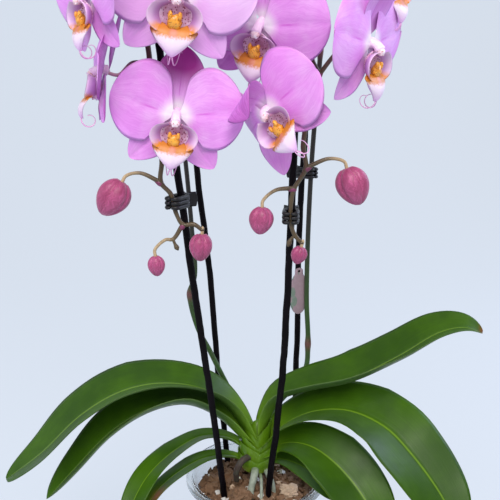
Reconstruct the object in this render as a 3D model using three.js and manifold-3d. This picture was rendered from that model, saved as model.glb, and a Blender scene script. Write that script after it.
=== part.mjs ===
// A moth orchid in a clear nursery pot: two flower spikes trained over two wire hoops, with
// hanging racemes of flowers and buds at the front. Millimetres, +Z up, the viewer's side is -Y.
// The origin is the centre of the pot's underside.
import * as THREE from 'three';
import { mergeVertices } from 'three/addons/utils/BufferGeometryUtils.js';
import Module from 'manifold-3d';

const wasm = await Module();
wasm.setup();

// ---- Driving dimensions ----

const CLEARANCE = 0.3; // between pieces that touch
const CURVE_STEPS = 600; // how finely a curve is searched for a height

const POT_HEIGHT = 108;
const POT_BASE_RADIUS = 43;
const POT_TOP_RADIUS = 57; // outside of the wall, under the rim
const POT_WALL = 1.5;
const POT_FLOOR = 2;
const POT_FOOT = 4; // height of the rounded foot
const RIM_WIDTH = 5.5; // how far the rim stands out from the wall
const RIM_DEPTH = 5;
const POT_SIDES = 26;
const SLOT_COUNT = 8;
const SLOT_WIDTH = 3.5;
const SLOT_LENGTH = 12;

const BED_BELOW_RIM = 12;
const BED_EDGE_DROP = 2; // the bed's edge lies this much under its middle
const BED_BUMPS = 2.2;
const CHUNK_SINK = 3;

const ROD_RADIUS = 2.75;
const HOOP_HEIGHT = 512; // above the bark
const LEG_DEPTH = 62; // pushed into the bark

const CROWN_HEIGHT = 46;
const CROWN_WIDTH = 30;
const CROWN_DEPTH = 24;
const CROWN_X = 2;
const CROWN_Y = 9;
const CROWN_RISE = 12; // carried above the bark by the roots

const LEAF_THICKNESS = 2.4;
const STEM_RADIUS = 3.1;
const JOINT_RADIUS = 1.35 * STEM_RADIUS; // the swellings at the spikes' joints
const SPIKE_TIP_RADIUS = 1.5;
const PEDICEL_RADIUS = 1.3;

const PETAL_THICKNESS = 1.1;
const BLOSSOM_HALF_SPAN = 47;
const OFFSET_STEP = BLOSSOM_HALF_SPAN / 47; // a wider blossom hangs further from its spike
const HUB_RADIUS = 4.5;
const COLUMN_RADIUS = 3.4;
const LIP_THICKNESS = 1.6;
const CALLUS_HEIGHT = 3;

const CLIP_WALL = 1.8;
const CLIP_SLACK = 1; // play of a clip around its rod and stem
const CLIP_HEIGHT = 8;
const CLIP_TAB = 9;
const CLIP_TAB_TURN = 0.35; // how far the thumb plates spread, in radians
const CLIP_TAB_APART = 2.4; // from the clip's middle line to each thumb plate

const TAG_WIDTH = 15;
const TAG_LENGTH = 44;
const TAG_SHARE = 0.37; // of the hoop's height
const TAG_THICKNESS = 0.8;
const TAG_NECK = 4; // the narrow top, with the hole in it
const TAG_HOLE_RADIUS = 1.2;
const TAG_TURN = 0.25; // in radians
const TAG_PLAY = 2.5; // in front of the hoop's leg

// ---- Worked out from them ----

const BARK_LEVEL = POT_HEIGHT - BED_BELOW_RIM;

// ---- Looks ----

const look = (color, roughness, metalness = 0, opacity = 1) =>
  new THREE.MeshStandardMaterial({ color, roughness, metalness, opacity, transparent: opacity < 1 });

const CLEAR = look(0xdde2e4, 0.15, 0, 0.35);
const BARK = look(0x5a3a24, 0.95);
const PALE_BARK = look(0xb99a80, 0.95);
const LEAF = look(0x2f5a1e, 0.4);
const CROWN = look(0x8fa04a, 0.5);
const ROOT = look(0x9aa596, 0.8);
const STEM = look(0x5a4a2c, 0.55);
const WIRE = look(0x17131a, 0.4);
const CLIP = look(0x121212, 0.45);
const BUD = look(0xa53c6e, 0.5);
const PETAL = look(0xdf8fe6, 0.55);
const LIP = look(0xf0c3dc, 0.5);
const CARD = look(0x897b80, 0.8);

// ---- Helpers: points, solids and meshes ----

const vec = (x, y, z) => new THREE.Vector3(x, y, z);
const lerp = THREE.MathUtils.lerp;
const radians = THREE.MathUtils.degToRad;

/** A repeatable number from 0 to 1 for a whole number. */
function noise(seed) {
  const wave = Math.sin(seed * 127.1 + 11.7) * 43758.5453;
  return wave - Math.floor(wave);
}

/** The manifold solid of a closed geometry. */
function solidOf(geometry) {
  const bare = geometry.clone();
  bare.deleteAttribute('normal');
  bare.deleteAttribute('uv');
  const merged = mergeVertices(bare, 1e-4);
  const vertProperties = new Float32Array(merged.attributes.position.array);
  const triVerts = new Uint32Array(merged.index.array);
  return new wasm.Manifold(new wasm.Mesh({ numProp: 3, vertProperties, triVerts }));
}

/** The geometry of a manifold solid. */
function geometryOf(solid) {
  const { vertProperties, triVerts } = solid.getMesh();
  const geometry = new THREE.BufferGeometry();
  geometry.setAttribute('position', new THREE.BufferAttribute(vertProperties, 3));
  geometry.setIndex(new THREE.BufferAttribute(triVerts, 1));
  geometry.computeVertexNormals();
  return geometry;
}

/** A named mesh of one solid. */
function piece(name, solid, material) {
  const mesh = new THREE.Mesh(geometryOf(solid), material);
  mesh.name = name;
  return mesh;
}

/** Joins solids into one. */
const joined = (solids) => solids.reduce((whole, next) => whole.add(next));

/** Cuts the second list of solids out of the first solid. */
const cut = (solid, cutters) => cutters.reduce((left, cutter) => left.subtract(cutter), solid);

/** A geometry moved by a matrix, as a solid. */
const placed = (geometry, matrix) => solidOf(geometry.clone().applyMatrix4(matrix));

/** A closed solid through rings of points, closed at each end by a fan to a point there. */
function loft(rings, start, end) {
  const across = rings[0].length;
  const points = [...rings.flat(), start, end];
  const first = rings.length * across;
  const faces = [];
  for (let side = 0; side < across; side += 1) {
    const next = (side + 1) % across;
    for (let ring = 0; ring < rings.length - 1; ring += 1) {
      const here = ring * across;
      const there = here + across;
      faces.push(here + side, here + next, there + next);
      faces.push(here + side, there + next, there + side);
    }
    const last = (rings.length - 1) * across;
    faces.push(first, next, side);
    faces.push(first + 1, last + side, last + next);
  }
  const geometry = new THREE.BufferGeometry().setFromPoints(points);
  geometry.setIndex(faces);
  if (signedVolume(geometry) < 0) {
    geometry.setIndex(faces.reverse());
  }
  return geometry;
}

/** Six times the volume that an indexed geometry holds, below zero if its faces point in. */
function signedVolume(geometry) {
  const { position } = geometry.attributes;
  const corner = [vec(), vec(), vec()];
  let total = 0;
  for (let face = 0; face < geometry.index.count; face += 3) {
    corner.forEach((point, k) => point.fromBufferAttribute(position, geometry.index.getX(face + k)));
    total += corner[0].dot(corner[1].clone().cross(corner[2]));
  }
  return total;
}

/** A smooth curve through points. */
const through = (points) => new THREE.CatmullRomCurve3(points, false, 'centripetal');

/**
 * A closed tapered tube with a rounded end each way. It has as many steps between each two of
 * the curve's own points, so it passes through all of them.
 */
function taperedTube(curve, radiusAt, sides, stepsEach) {
  const steps = stepsEach * (curve.points.length - 1);
  const rings = [];
  let normal = vec(0.3, 1, 0.2);
  for (let step = 0; step <= steps; step += 1) {
    const share = step / steps;
    const centre = curve.getPoint(share);
    const tangent = curve.getTangent(share);
    normal = normal.addScaledVector(tangent, -normal.dot(tangent)).normalize();
    const binormal = tangent.clone().cross(normal);
    const ring = [];
    for (let side = 0; side < sides; side += 1) {
      const angle = (2 * Math.PI * side) / sides;
      const point = centre.clone();
      point.addScaledVector(normal, radiusAt(share) * Math.cos(angle));
      point.addScaledVector(binormal, radiusAt(share) * Math.sin(angle));
      ring.push(point);
    }
    rings.push(ring);
  }
  const start = curve.getPoint(0).addScaledVector(curve.getTangent(0), -0.5 * radiusAt(0));
  const end = curve.getPoint(1).addScaledVector(curve.getTangent(1), 0.5 * radiusAt(1));
  return loft(rings, start, end);
}

/** A round bar of one radius along a curve. */
function bar(curve, radius, sides, steps) {
  const section = new THREE.Shape().absarc(0, 0, radius, 0, 2 * Math.PI);
  return new THREE.ExtrudeGeometry(section, { curveSegments: sides, steps, extrudePath: curve });
}

/**
 * A thin curved blade, such as a petal: its points come from place(along, across), with along
 * from 0 to 1 and across from -1 to 1, and its thickness fades to nothing at both side edges.
 */
function blade(place, thickness, stations, columns) {
  const rings = [];
  for (let station = 0; station <= stations; station += 1) {
    const along = (1 - Math.cos((Math.PI * station) / stations)) / 2;
    const top = [];
    const under = [];
    for (let column = 0; column <= columns; column += 1) {
      const across = (2 * column) / columns - 1;
      const { point, normal } = place(along, across);
      top.push(point);
      if (column > 0 && column < columns) {
        under.unshift(point.clone().addScaledVector(normal, -thickness));
      }
    }
    rings.push([...top, ...under]);
  }
  const middle = (ring) => {
    const total = ring.reduce((sum, point) => sum.add(point), vec(0, 0, 0));
    return total.divideScalar(ring.length);
  };
  return loft(rings, middle(rings[0]), middle(rings[stations]));
}

/** Turns and moves a geometry into the frame of something that faces a direction. */
function facing(at, direction, roll) {
  const forward = direction.clone().normalize();
  const side = vec(0, 0, 1).cross(forward).normalize();
  const up = forward.clone().cross(side);
  const frame = new THREE.Matrix4().makeBasis(side, up, forward);
  frame.multiply(new THREE.Matrix4().makeRotationZ(radians(roll)));
  return frame.setPosition(at);
}

/** A lumpy chunk: a rounded block with every corner pushed in or out. */
function chunk(size, seed, grow = 0) {
  const geometry = new THREE.IcosahedronGeometry(1, 1);
  const { position } = geometry.attributes;
  const point = vec();
  for (let k = 0; k < position.count; k += 1) {
    point.fromBufferAttribute(position, k);
    const key = Math.round(point.x * 50) + 7 * Math.round(point.y * 50) + 13 * Math.round(point.z * 50);
    const wobble = 0.85 + 0.25 * noise(seed + key);
    const square = Math.max(Math.abs(point.x), Math.abs(point.y), Math.abs(point.z)) ** -0.6;
    point.multiplyScalar(wobble * square);
    const [x, y, z] = size.map((whole) => whole / 2 + grow);
    position.setXYZ(k, point.x * x, point.y * y, point.z * z);
  }
  return geometry;
}

// ---- Pot and bark ----

/** The radius of the pot's outer wall at a height above the foot. */
const wallRadius = (height) =>
  lerp(POT_BASE_RADIUS, POT_TOP_RADIUS, (height - POT_FOOT) / (POT_HEIGHT - POT_FOOT));

function pot() {
  const rimBottom = POT_HEIGHT - RIM_DEPTH;
  const outline = [
    [0, 0],
    [POT_BASE_RADIUS - POT_FOOT, 0],
    [POT_BASE_RADIUS - 1, POT_FOOT - 2.5],
    [POT_BASE_RADIUS, POT_FOOT],
    [wallRadius(rimBottom), rimBottom + POT_WALL],
    [POT_TOP_RADIUS + RIM_WIDTH - POT_WALL, rimBottom + POT_WALL],
    [POT_TOP_RADIUS + RIM_WIDTH - POT_WALL, rimBottom],
    [POT_TOP_RADIUS + RIM_WIDTH, rimBottom],
    [POT_TOP_RADIUS + RIM_WIDTH, POT_HEIGHT - 0.8],
    [POT_TOP_RADIUS + RIM_WIDTH - 0.8, POT_HEIGHT],
    [POT_TOP_RADIUS - POT_WALL, POT_HEIGHT],
    [POT_BASE_RADIUS - POT_WALL, POT_FOOT],
    [POT_BASE_RADIUS - POT_WALL - 2, POT_FLOOR],
    [0, POT_FLOOR],
  ];
  const shell = new THREE.LatheGeometry(outline.map(([x, y]) => new THREE.Vector2(x, y)), POT_SIDES);
  const slots = [];
  for (let slot = 0; slot < SLOT_COUNT; slot += 1) {
    const box = new THREE.BoxGeometry(SLOT_LENGTH, SLOT_WIDTH, 4 * POT_FLOOR);
    const turn = new THREE.Matrix4().makeRotationZ((2 * Math.PI * (slot + 0.5)) / SLOT_COUNT);
    const out = POT_BASE_RADIUS - SLOT_LENGTH / 2 - 8;
    slots.push(placed(box, turn.multiply(new THREE.Matrix4().makeTranslation(out, 0, 0))));
  }
  return piece('pot', cut(placed(shell, new THREE.Matrix4().makeRotationX(Math.PI / 2)), slots), CLEAR);
}

/** The bark that fills the pot, with room for everything that is pushed into it. */
function bark(buried) {
  const gap = POT_WALL + CLEARANCE;
  const floor = POT_FLOOR + CLEARANCE - BARK_LEVEL;
  const topRadius = wallRadius(BARK_LEVEL - BED_EDGE_DROP) - gap;
  const outline = [
    [0, floor],
    [POT_BASE_RADIUS - gap - 2, floor],
    [POT_BASE_RADIUS - gap, POT_FOOT + CLEARANCE - BARK_LEVEL],
    [topRadius, -BED_EDGE_DROP],
    [0.66 * topRadius, 0],
    [0.33 * topRadius, 0],
    [0, 0],
  ];
  const geometry = new THREE.LatheGeometry(outline.map(([x, y]) => new THREE.Vector2(x, y)), POT_SIDES);
  geometry.rotateX(Math.PI / 2);
  const { position } = geometry.attributes;
  for (let k = 0; k < position.count; k += 1) {
    if (Math.abs(position.getZ(k)) < 0.01) {
      const key = Math.round(position.getX(k) * 3) + 5 * Math.round(position.getY(k) * 3);
      position.setZ(k, BED_BUMPS * (noise(key) - 0.6));
    }
  }
  return piece('bark_bed', cut(solidOf(geometry), buried), BARK);
}

/** Loose chunks that lie on the bark: name, middle, size, turn and seed. */
const CHUNKS = [
  { name: 'bark_chunk_brown', at: [-13, -28], size: [20, 16, 15], turn: 20, seed: 3, look: BARK },
  { name: 'bark_chunk_pale', at: [29, -14], size: [19, 13, 10], turn: -30, seed: 8, look: PALE_BARK },
  { name: 'bark_chunk_front', at: [9, -40], size: [20, 11, 10], turn: 10, seed: 5, look: PALE_BARK },
  { name: 'perlite', at: [33, -33], size: [9, 8, 7], turn: 0, seed: 21, look: look(0xe8e6e0, 0.9) },
];

function chunkSolid({ at, size, turn, seed }, grow = 0) {
  const frame = new THREE.Matrix4().makeRotationZ(radians(turn));
  frame.setPosition(at[0], at[1], size[2] / 2 - CHUNK_SINK);
  return placed(chunk(size, seed, grow), frame);
}

// ---- Wire hoops ----

/** Each hoop's path from the front leg to the back leg: x, y and share of the hoop's height. */
const HOOPS = {
  left: [
    [-28, -19, 0], [-33, -30, 0.12], [-39, -38, 0.23], [-47, -46, 0.37], [-55, -51, 0.51],
    [-69, -45, 0.725],
    [-78, -34, 0.88], [-82, -18, 0.97], [-83, 0, 1], [-80, 19, 0.97], [-73, 36, 0.88],
    [-61, 48, 0.74], [-51, 52, 0.52], [-42, 49, 0.36], [-35, 46, 0.16], [-27, 41, 0],
  ],
  right: [
    [11, -20, 0], [17, -30, 0.13], [20, -36, 0.21], [23, -44, 0.32], [25, -50, 0.47], [27, -50, 0.6],
    [30, -44, 0.72], [36, -32, 0.88], [40, -17, 0.97], [43, 0, 1], [46, 18, 0.97], [49, 34, 0.88],
    [47, 48, 0.74], [43, 51, 0.6], [40, 51, 0.46], [39, 49, 0.21], [35, 33, 0],
  ],
};

/** The curve of a hoop, with both legs carried down into the bark. */
function hoopCurve(path) {
  const [first] = path;
  const last = path[path.length - 1];
  const points = path.map(([x, y, share]) => vec(x, y, share * HOOP_HEIGHT));
  points.unshift(vec(first[0] + 2, first[1] + 4, -LEG_DEPTH));
  points.push(vec(0.82 * last[0], 0.74 * last[1], -LEG_DEPTH));
  return through(points);
}

function hoopSolid(side, grow = 0) {
  const curve = grownCurve(hoopCurve(HOOPS[side]), grow);
  return solidOf(bar(curve, ROD_RADIUS + grow, 4, 44));
}

/** A curve that runs on past each end by a distance. */
function grownCurve(curve, distance) {
  if (distance === 0) {
    return curve;
  }
  const points = curve.points.map((point) => point.clone());
  const last = points.length - 1;
  points[0].addScaledVector(curve.getTangentAt(0), -distance);
  points[last].addScaledVector(curve.getTangentAt(1), distance);
  return through(points);
}

/** The point of a curve at a height, on its front or its back stretch. */
function atHeight(curve, height, front) {
  const steps = CURVE_STEPS;
  const points = curve.getPoints(steps);
  const wanted = points.filter((point) => (point.y < 0) === front);
  const away = (point) => Math.abs(point.z - height);
  return wanted.reduce((best, point) => (away(point) < away(best) ? point : best));
}

// ---- Crown, roots and leaves ----

function crownSolid(grow = 0) {
  const rings = [];
  const levels = 8;
  const sides = 12;
  const height = CROWN_HEIGHT + 2 * grow;
  for (let level = 0; level <= levels; level += 1) {
    const share = level / levels;
    const bulge = 0.55 + 0.45 * Math.sin(Math.PI * (0.15 + 0.8 * share));
    const ring = [];
    for (let side = 0; side < sides; side += 1) {
      const angle = (2 * Math.PI * side) / sides;
      const x = (0.5 * CROWN_WIDTH * bulge + grow) * Math.cos(angle);
      const y = (0.5 * CROWN_DEPTH * bulge + grow) * Math.sin(angle);
      ring.push(vec(CROWN_X + x, CROWN_Y + y, share * height + CROWN_RISE - grow));
    }
    rings.push(ring);
  }
  const low = vec(2, 9, CROWN_RISE - grow - 1);
  const high = vec(2, 9, height + CROWN_RISE - grow + 1);
  return solidOf(loft(rings, low, high));
}

/** Aerial roots from the crown into the bark. */
const ROOTS = [
  { name: 'root_front', path: [[0, 2, 16], [-1, -8, 14], [-4, -15, 3], [-5, -20, -9]], radius: 3.6 },
  { name: 'root_right', path: [[8, 4, 14], [11, -3, 12], [15, -8, 2], [16, -11, -8]], radius: 3.2 },
  { name: 'root_left', path: [[-4, 2, 26], [-12, -8, 27], [-17, -10, 18], [-17, -8, 8]], radius: 3.2 },
  { name: 'root_thin', path: [[4, 2, 10], [5, -10, 9], [5, -22, 3], [4, -30, -7]], radius: 1.6 },
  { name: 'root_back', path: [[2, 16, 18], [6, 24, 19], [10, 32, 6], [11, 37, -9]], radius: 3.2 },
];

function rootSolid({ path, radius }, grow = 0) {
  const curve = grownCurve(through(path.map(([x, y, z]) => vec(x, y, z))), grow);
  return solidOf(taperedTube(curve, (share) => radius * (1 - 0.25 * share) + grow, 7, 2));
}

/**
 * Leaves from the crown outwards: midrib points above the bark, greatest width, the fold angle
 * of each half and the roll about the midrib in degrees, from base to tip.
 */
const LEAVES = [
  {
    name: 'leaf_left_top', width: 64, fold: [30, 8], roll: [0, -4],
    midrib: [
      [-6, 10, 40], [-16, 9, 62], [-30, 7, 80], [-49, 4, 92], [-83, -2, 99], [-116, -10, 95],
      [-149, -20, 78], [-182, -30, 48], [-211, -36, 27],
    ],
  },
  {
    name: 'leaf_left_under', width: 46, fold: [35, 20], roll: [0, 0],
    midrib: [
      [-6, 9, 34], [-30, 7, 62], [-60, 4, 78], [-92, -6, 77], [-124, -18, 62], [-152, -30, 36],
      [-176, -42, 12],
    ],
  },
  {
    name: 'leaf_left_front', width: 25, fold: [20, 5], roll: [0, 0],
    midrib: [
      [-5, 9, 26], [-22, 9, 40], [-46, 0, 48], [-66, -16, 46], [-88, -44, 38], [-99, -66, 25],
      [-104, -82, 8],
    ],
  },
  {
    name: 'leaf_left_low', width: 19, fold: [15, 5], roll: [0, 0],
    midrib: [[-5, 8, 18], [-24, 6, 25], [-46, -4, 28], [-66, -20, 25], [-83, -38, 18], [-93, -54, 8]],
  },
  {
    name: 'leaf_right_top', width: 54, fold: [35, 20], roll: [0, 8],
    midrib: [
      [8, 12, 40], [12, 12, 62], [22, 11, 79], [45, 8, 89], [84, 5, 100], [125, 2, 123],
      [158, 0, 145], [178, -2, 150], [193, -4, 146],
    ],
  },
  {
    name: 'leaf_right_under', width: 60, fold: [25, 8], roll: [0, 6],
    midrib: [
      [8, 9, 34], [24, 7, 54], [50, 2, 70], [81, -8, 76], [110, -25, 69], [129, -44, 54], [148, -64, 31],
      [160, -80, 8],
    ],
  },
  {
    name: 'leaf_right_front', width: 46, fold: [25, 10], roll: [0, 0],
    midrib: [[7, 8, 26], [26, 6, 37], [48, -8, 42], [70, -26, 34], [90, -46, 16], [106, -66, -10]],
  },
  {
    name: 'leaf_right_low', width: 26, fold: [25, 10], roll: [0, 0],
    midrib: [[7, 8, 18], [24, 4, 22], [42, -8, 22], [58, -22, 17], [72, -36, 8]],
  },
];

/** How wide a leaf is at a share of its length, as a share of its greatest width. */
function leafWidth(along) {
  const base = lerp(0.42, 1, Math.min(1, along / 0.5) ** 1.2);
  const tip = Math.sqrt(Math.max(0, 1 - Math.max(0, (along - 0.55) / 0.45) ** 2.3));
  return Math.max(0.06, base * tip);
}

/** A point of a midrib, raised to pass over the pot's rim where the leaf would meet it. */
function overRim([x, y, z], width) {
  const overPot = Math.hypot(x, y) - width / 2 < POT_TOP_RADIUS + RIM_WIDTH;
  const least = BED_BELOW_RIM + LEAF_THICKNESS + CLEARANCE;
  return vec(x, y, overPot ? Math.max(z, least) : z);
}

function leafGeometry({ midrib, width, fold, roll }) {
  const curve = through(midrib.map((point) => overRim(point, width)));
  const place = (along, across) => {
    const centre = curve.getPointAt(along);
    const tangent = curve.getTangentAt(along);
    const level = vec(0, 0, 1).cross(tangent).normalize();
    const turn = radians(lerp(roll[0], roll[1], along));
    const side = level.applyAxisAngle(tangent, turn);
    const normal = tangent.clone().cross(side).normalize();
    const half = 0.5 * width * leafWidth(along);
    const rise = Math.tan(radians(lerp(fold[0], fold[1], along)));
    const out = across * half;
    const lift = Math.abs(across) ** 1.4 * half * rise;
    const point = centre.clone().addScaledVector(side, out).addScaledVector(normal, lift);
    return { point, normal };
  };
  return blade(place, LEAF_THICKNESS, 13, 4);
}

// ---- Spikes ----

/** Each spike's path from the crown over its hoop and down: x, y and share of the hoop's height. */
const SPIKES = {
  left: {
    path: [
      [-4, 25, 0.09], [-18, 38, 0.12], [-33, 38, 0.18], [-43, 41, 0.22], [-53, 41, 0.26], [-60, 41, 0.325],
      [-55, 41, 0.36], [-57, 42, 0.445], [-62, 41, 0.58], [-71, 39, 0.74], [-83, 27, 0.9], [-90, 0, 1.02],
      [-87, -30, 0.92], [-81, -49, 0.8], [-75, -54, 0.71], [-75, -58, 0.66], [-68, -60, 0.584],
      [-69, -61, 0.55], [-62, -61, 0.533], [-59, -61, 0.508], [-54, -61, 0.49], [-46, -61, 0.49],
      [-40, -61, 0.482],
    ],
    joints: [5, 9],
  },
  right: {
    path: [
      [6, 25, 0.09], [22, 36, 0.12], [46, 38, 0.18], [49, 43, 0.23], [47, 43, 0.31], [47, 44, 0.42],
      [49, 44, 0.56], [54, 40, 0.74], [56, 26, 0.91], [54, 0, 1.02], [46, -30, 0.92], [42, -46, 0.81],
      [38, -52, 0.72], [43, -53, 0.695], [38, -56, 0.66], [33, -59, 0.6], [35, -60, 0.57],
      [27, -61, 0.542], [25, -61, 0.526], [25, -61, 0.49], [28, -61, 0.474], [33, -61, 0.463],
    ],
    joints: [3, 7],
  },
};

const spikePoints = (side) => SPIKES[side].path.map(([x, y, share]) => vec(x, y, share * HOOP_HEIGHT));

const spikeRadius = (share) => lerp(STEM_RADIUS, SPIKE_TIP_RADIUS, Math.min(1, share * 1.15));

// ---- Blossoms and buds ----

/**
 * Blossoms: the spike and its path point that each hangs from, the place of its middle from that
 * point, the way it faces, its roll and its size.
 */
const BLOSSOMS = [
  {
    name: 'a', side: 'left', from: 15, offset: [20, -17, -9],
    face: [0.05, -1, -0.12], roll: -8, size: 0.94,
  },
  {
    name: 'b', side: 'left', from: 13, offset: [31, -43, -4],
    face: [0, -1, -0.2], roll: -8, size: 1.02,
  },
  {
    name: 'c', side: 'left', from: 14, offset: [-31, -10, -5],
    face: [-0.95, -0.25, 0.22], roll: 0, size: 0.9,
  },
  {
    name: 'd', side: 'left', from: 13, offset: [-26, -44, -6],
    face: [-0.8, -0.6, -0.05], roll: 0, size: 0.88,
  },
  {
    name: 'e', side: 'right', from: 14, offset: [-31, -24, -6],
    face: [-0.6, -0.8, -0.15], roll: 48, size: 0.94,
  },
  {
    name: 'f', side: 'right', from: 13, offset: [33, -18, 20],
    face: [0.8, -0.6, -0.15], roll: 4, size: 0.96,
  },
  {
    name: 'g', side: 'right', from: 12, offset: [-36, -9, 20],
    face: [-0.35, -0.85, -0.25], roll: -12, size: 0.98,
  },
  {
    name: 'h', side: 'right', from: 11, offset: [52, 8, 13],
    face: [0.75, -0.6, 0], roll: 0, size: 0.94,
  },
  {
    name: 'i', side: 'right', from: 10, offset: [24, 22, -23],
    face: [0.3, 0.95, 0.1], roll: 0, size: 0.8,
  },
  {
    name: 'j', side: 'left', from: 12, offset: [20, -30, 22],
    face: [0.2, -0.95, 0.15], roll: 0, size: 0.98,
  },
  {
    name: 'k', side: 'left', from: 11, offset: [-26, 4, -14],
    face: [-1, 0.2, 0.15], roll: 0, size: 0.98,
  },
  {
    name: 'l', side: 'right', from: 10, offset: [-24, -26, 30],
    face: [-0.3, -0.95, 0.15], roll: 0, size: 0.98,
  },
];

const blossomPlace = ({ side, from, offset }) =>
  spikePoints(side)[from].addScaledVector(vec(...offset), OFFSET_STEP);

/** A flat outline that swells from a narrow claw and closes at a rounded tip. */
const swell = (along, power) => Math.min(1, 0.16 + 4.5 * along) * Math.sin(Math.PI * along ** power) ** 0.6;

/** One sepal or petal in the blossom's own frame, where +Z faces out and +Y is up. */
function tepal({ length, width, angle, power, curl, cup, sit }) {
  const place = (along, across) => {
    const reach = 2 + along * (length - 2);
    const half = Math.max(1.2, 0.5 * width * swell(0.02 + 0.96 * along, power));
    const lift = sit + curl * along * along + cup * across * across * half;
    return { point: vec(across * half, reach, lift), normal: vec(0, 0, 1) };
  };
  return placed(blade(place, PETAL_THICKNESS, 5, 2), new THREE.Matrix4().makeRotationZ(radians(angle)));
}

/** The five tepals and the column of a blossom, joined, in its own frame. */
function blossomBody() {
  const span = BLOSSOM_HALF_SPAN;
  const sepal = { length: 0.93 * span, width: 0.62 * span, power: 0.85, curl: -3, cup: 0.02, sit: -1.6 };
  const petal = { length: span, width: 1.2 * span, power: 0.8, curl: -2, cup: 0.03, sit: 1.6 };
  const column = new THREE.CylinderGeometry(COLUMN_RADIUS, 0.8 * COLUMN_RADIUS, 9, 6);
  column.rotateX(1.25);
  column.translate(0, -1, 4);
  const hub = new THREE.SphereGeometry(HUB_RADIUS, 6, 4);
  return joined([
    placed(hub, new THREE.Matrix4()),
    placed(column, new THREE.Matrix4()),
    tepal({ ...sepal, angle: 0 }),
    tepal({ ...sepal, angle: 133 }),
    tepal({ ...sepal, angle: -133 }),
    tepal({ ...petal, angle: 82 }),
    tepal({ ...petal, angle: -82 }),
  ]);
}

/**
 * The lip of a blossom in its frame: a trough whose sides stand up as the side lobes near its
 * base, with the callus as a ridge along its middle, running out into the pointed middle lobe.
 */
function lipBody() {
  const span = BLOSSOM_HALF_SPAN;
  const drop = 0.31 * span; // from the blossom's middle to the callus
  const place = (along, across) => {
    const half = 0.3 * span * Math.sin(Math.PI * (0.3 + 0.66 * along)) ** 0.8;
    const stand = Math.max(0, 1 - 2.2 * along) * 0.3 * span * across * across;
    const ridge = CALLUS_HEIGHT * Math.max(0, 1 - Math.abs(along - 0.35) / 0.3) * (1 - Math.abs(across));
    const y = stand - drop + 3 - 0.5 * span * along;
    const z = 8 + 5 * Math.sin(2.4 * along) + 0.3 * stand + ridge;
    return { point: vec(across * half, y, z), normal: vec(0, 0.5, 0.85) };
  };
  return solidOf(blade(place, LIP_THICKNESS, 5, 4));
}

/** Buds: spike, path point, the place of the base from that point, the way to the tip and the length. */
const BUDS = [
  {
    name: 'bud_a', side: 'left', from: 17, offset: [-27, -1, 2],
    along: [-13, -2, -20], length: 29, radius: 12,
  },
  {
    name: 'bud_b', side: 'left', from: 20, offset: [-21, 1, -22],
    along: [1, 0, -15], length: 16, radius: 6.4,
  },
  {
    name: 'bud_c', side: 'left', from: 22, offset: [0, 0, -1],
    along: [-2, -1, -22], length: 21, radius: 9,
  },
  {
    name: 'bud_d', side: 'right', from: 16, offset: [29, 0, 2],
    along: [9, -2, -23], length: 29, radius: 12,
  },
  {
    name: 'bud_e', side: 'right', from: 17, offset: [-23, 1, -12],
    along: [-2, 0, -20], length: 21, radius: 9,
  },
  {
    name: 'bud_f', side: 'right', from: 21, offset: [0, 0, -1],
    along: [-4, 0, -14], length: 14, radius: 6,
  },
];

const budPlace = ({ side, from, offset }) => spikePoints(side)[from].add(vec(...offset));

function budSolid(bud) {
  const along = vec(...bud.along).normalize();
  const turn = new THREE.Quaternion().setFromUnitVectors(vec(0, 0, 1), along);
  const start = budPlace(bud).addScaledVector(along, PEDICEL_RADIUS + CLEARANCE);
  const place = new THREE.Matrix4().compose(start, turn, vec(1, 1, 1));
  const outline = [];
  const steps = 8;
  for (let step = 0; step <= steps; step += 1) {
    const share = step / steps;
    const radius = step % steps === 0 ? 0 : bud.radius * Math.sin(Math.PI * share ** 0.85) ** 0.62;
    outline.push(new THREE.Vector2(radius, bud.length * share));
  }
  const geometry = new THREE.LatheGeometry(outline, 10);
  geometry.rotateX(Math.PI / 2);
  return solidOf(geometry.applyMatrix4(place));
}

/** A short stalk that leaves a spike and ends clear of what it carries. */
function pedicel(start, end, sag) {
  const middle = start.clone().lerp(end, 0.5).add(vec(0, 0, sag));
  return solidOf(taperedTube(through([start, middle, end]), () => PEDICEL_RADIUS, 5, 2));
}

function spikeSolid(side) {
  const points = spikePoints(side);
  const parts = [solidOf(taperedTube(through(points), spikeRadius, 6, 2))];
  BLOSSOMS.filter((blossom) => blossom.side === side).forEach((blossom) => {
    const back = vec(...blossom.face).normalize();
    const gap = HUB_RADIUS * blossom.size + PEDICEL_RADIUS + CLEARANCE;
    const end = blossomPlace(blossom).addScaledVector(back, -gap);
    parts.push(pedicel(points[blossom.from], end, 4));
  });
  BUDS.filter((bud) => bud.side === side && bud.from < points.length - 1).forEach((bud) => {
    parts.push(pedicel(points[bud.from], budPlace(bud), 2));
  });
  SPIKES[side].joints.forEach((joint) => {
    const knot = new THREE.SphereGeometry(JOINT_RADIUS, 7, 5);
    parts.push(placed(knot, new THREE.Matrix4().setPosition(points[joint])));
  });
  return joined(parts);
}

// ---- Clips and tag ----

/** Claw clips: the hoop and its leg, and the share of its height. */
const CLIPS = [
  { name: 'clip_left_low', side: 'left', share: 0.521, front: true },
  { name: 'clip_right_low', side: 'right', share: 0.5, front: true },
  { name: 'clip_right_rear', side: 'right', share: 0.54, front: false },
  { name: 'clip_right_high', side: 'right', share: 0.76, front: true },
  { name: 'clip_left_high', side: 'left', share: 0.755, front: true },
];

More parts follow.
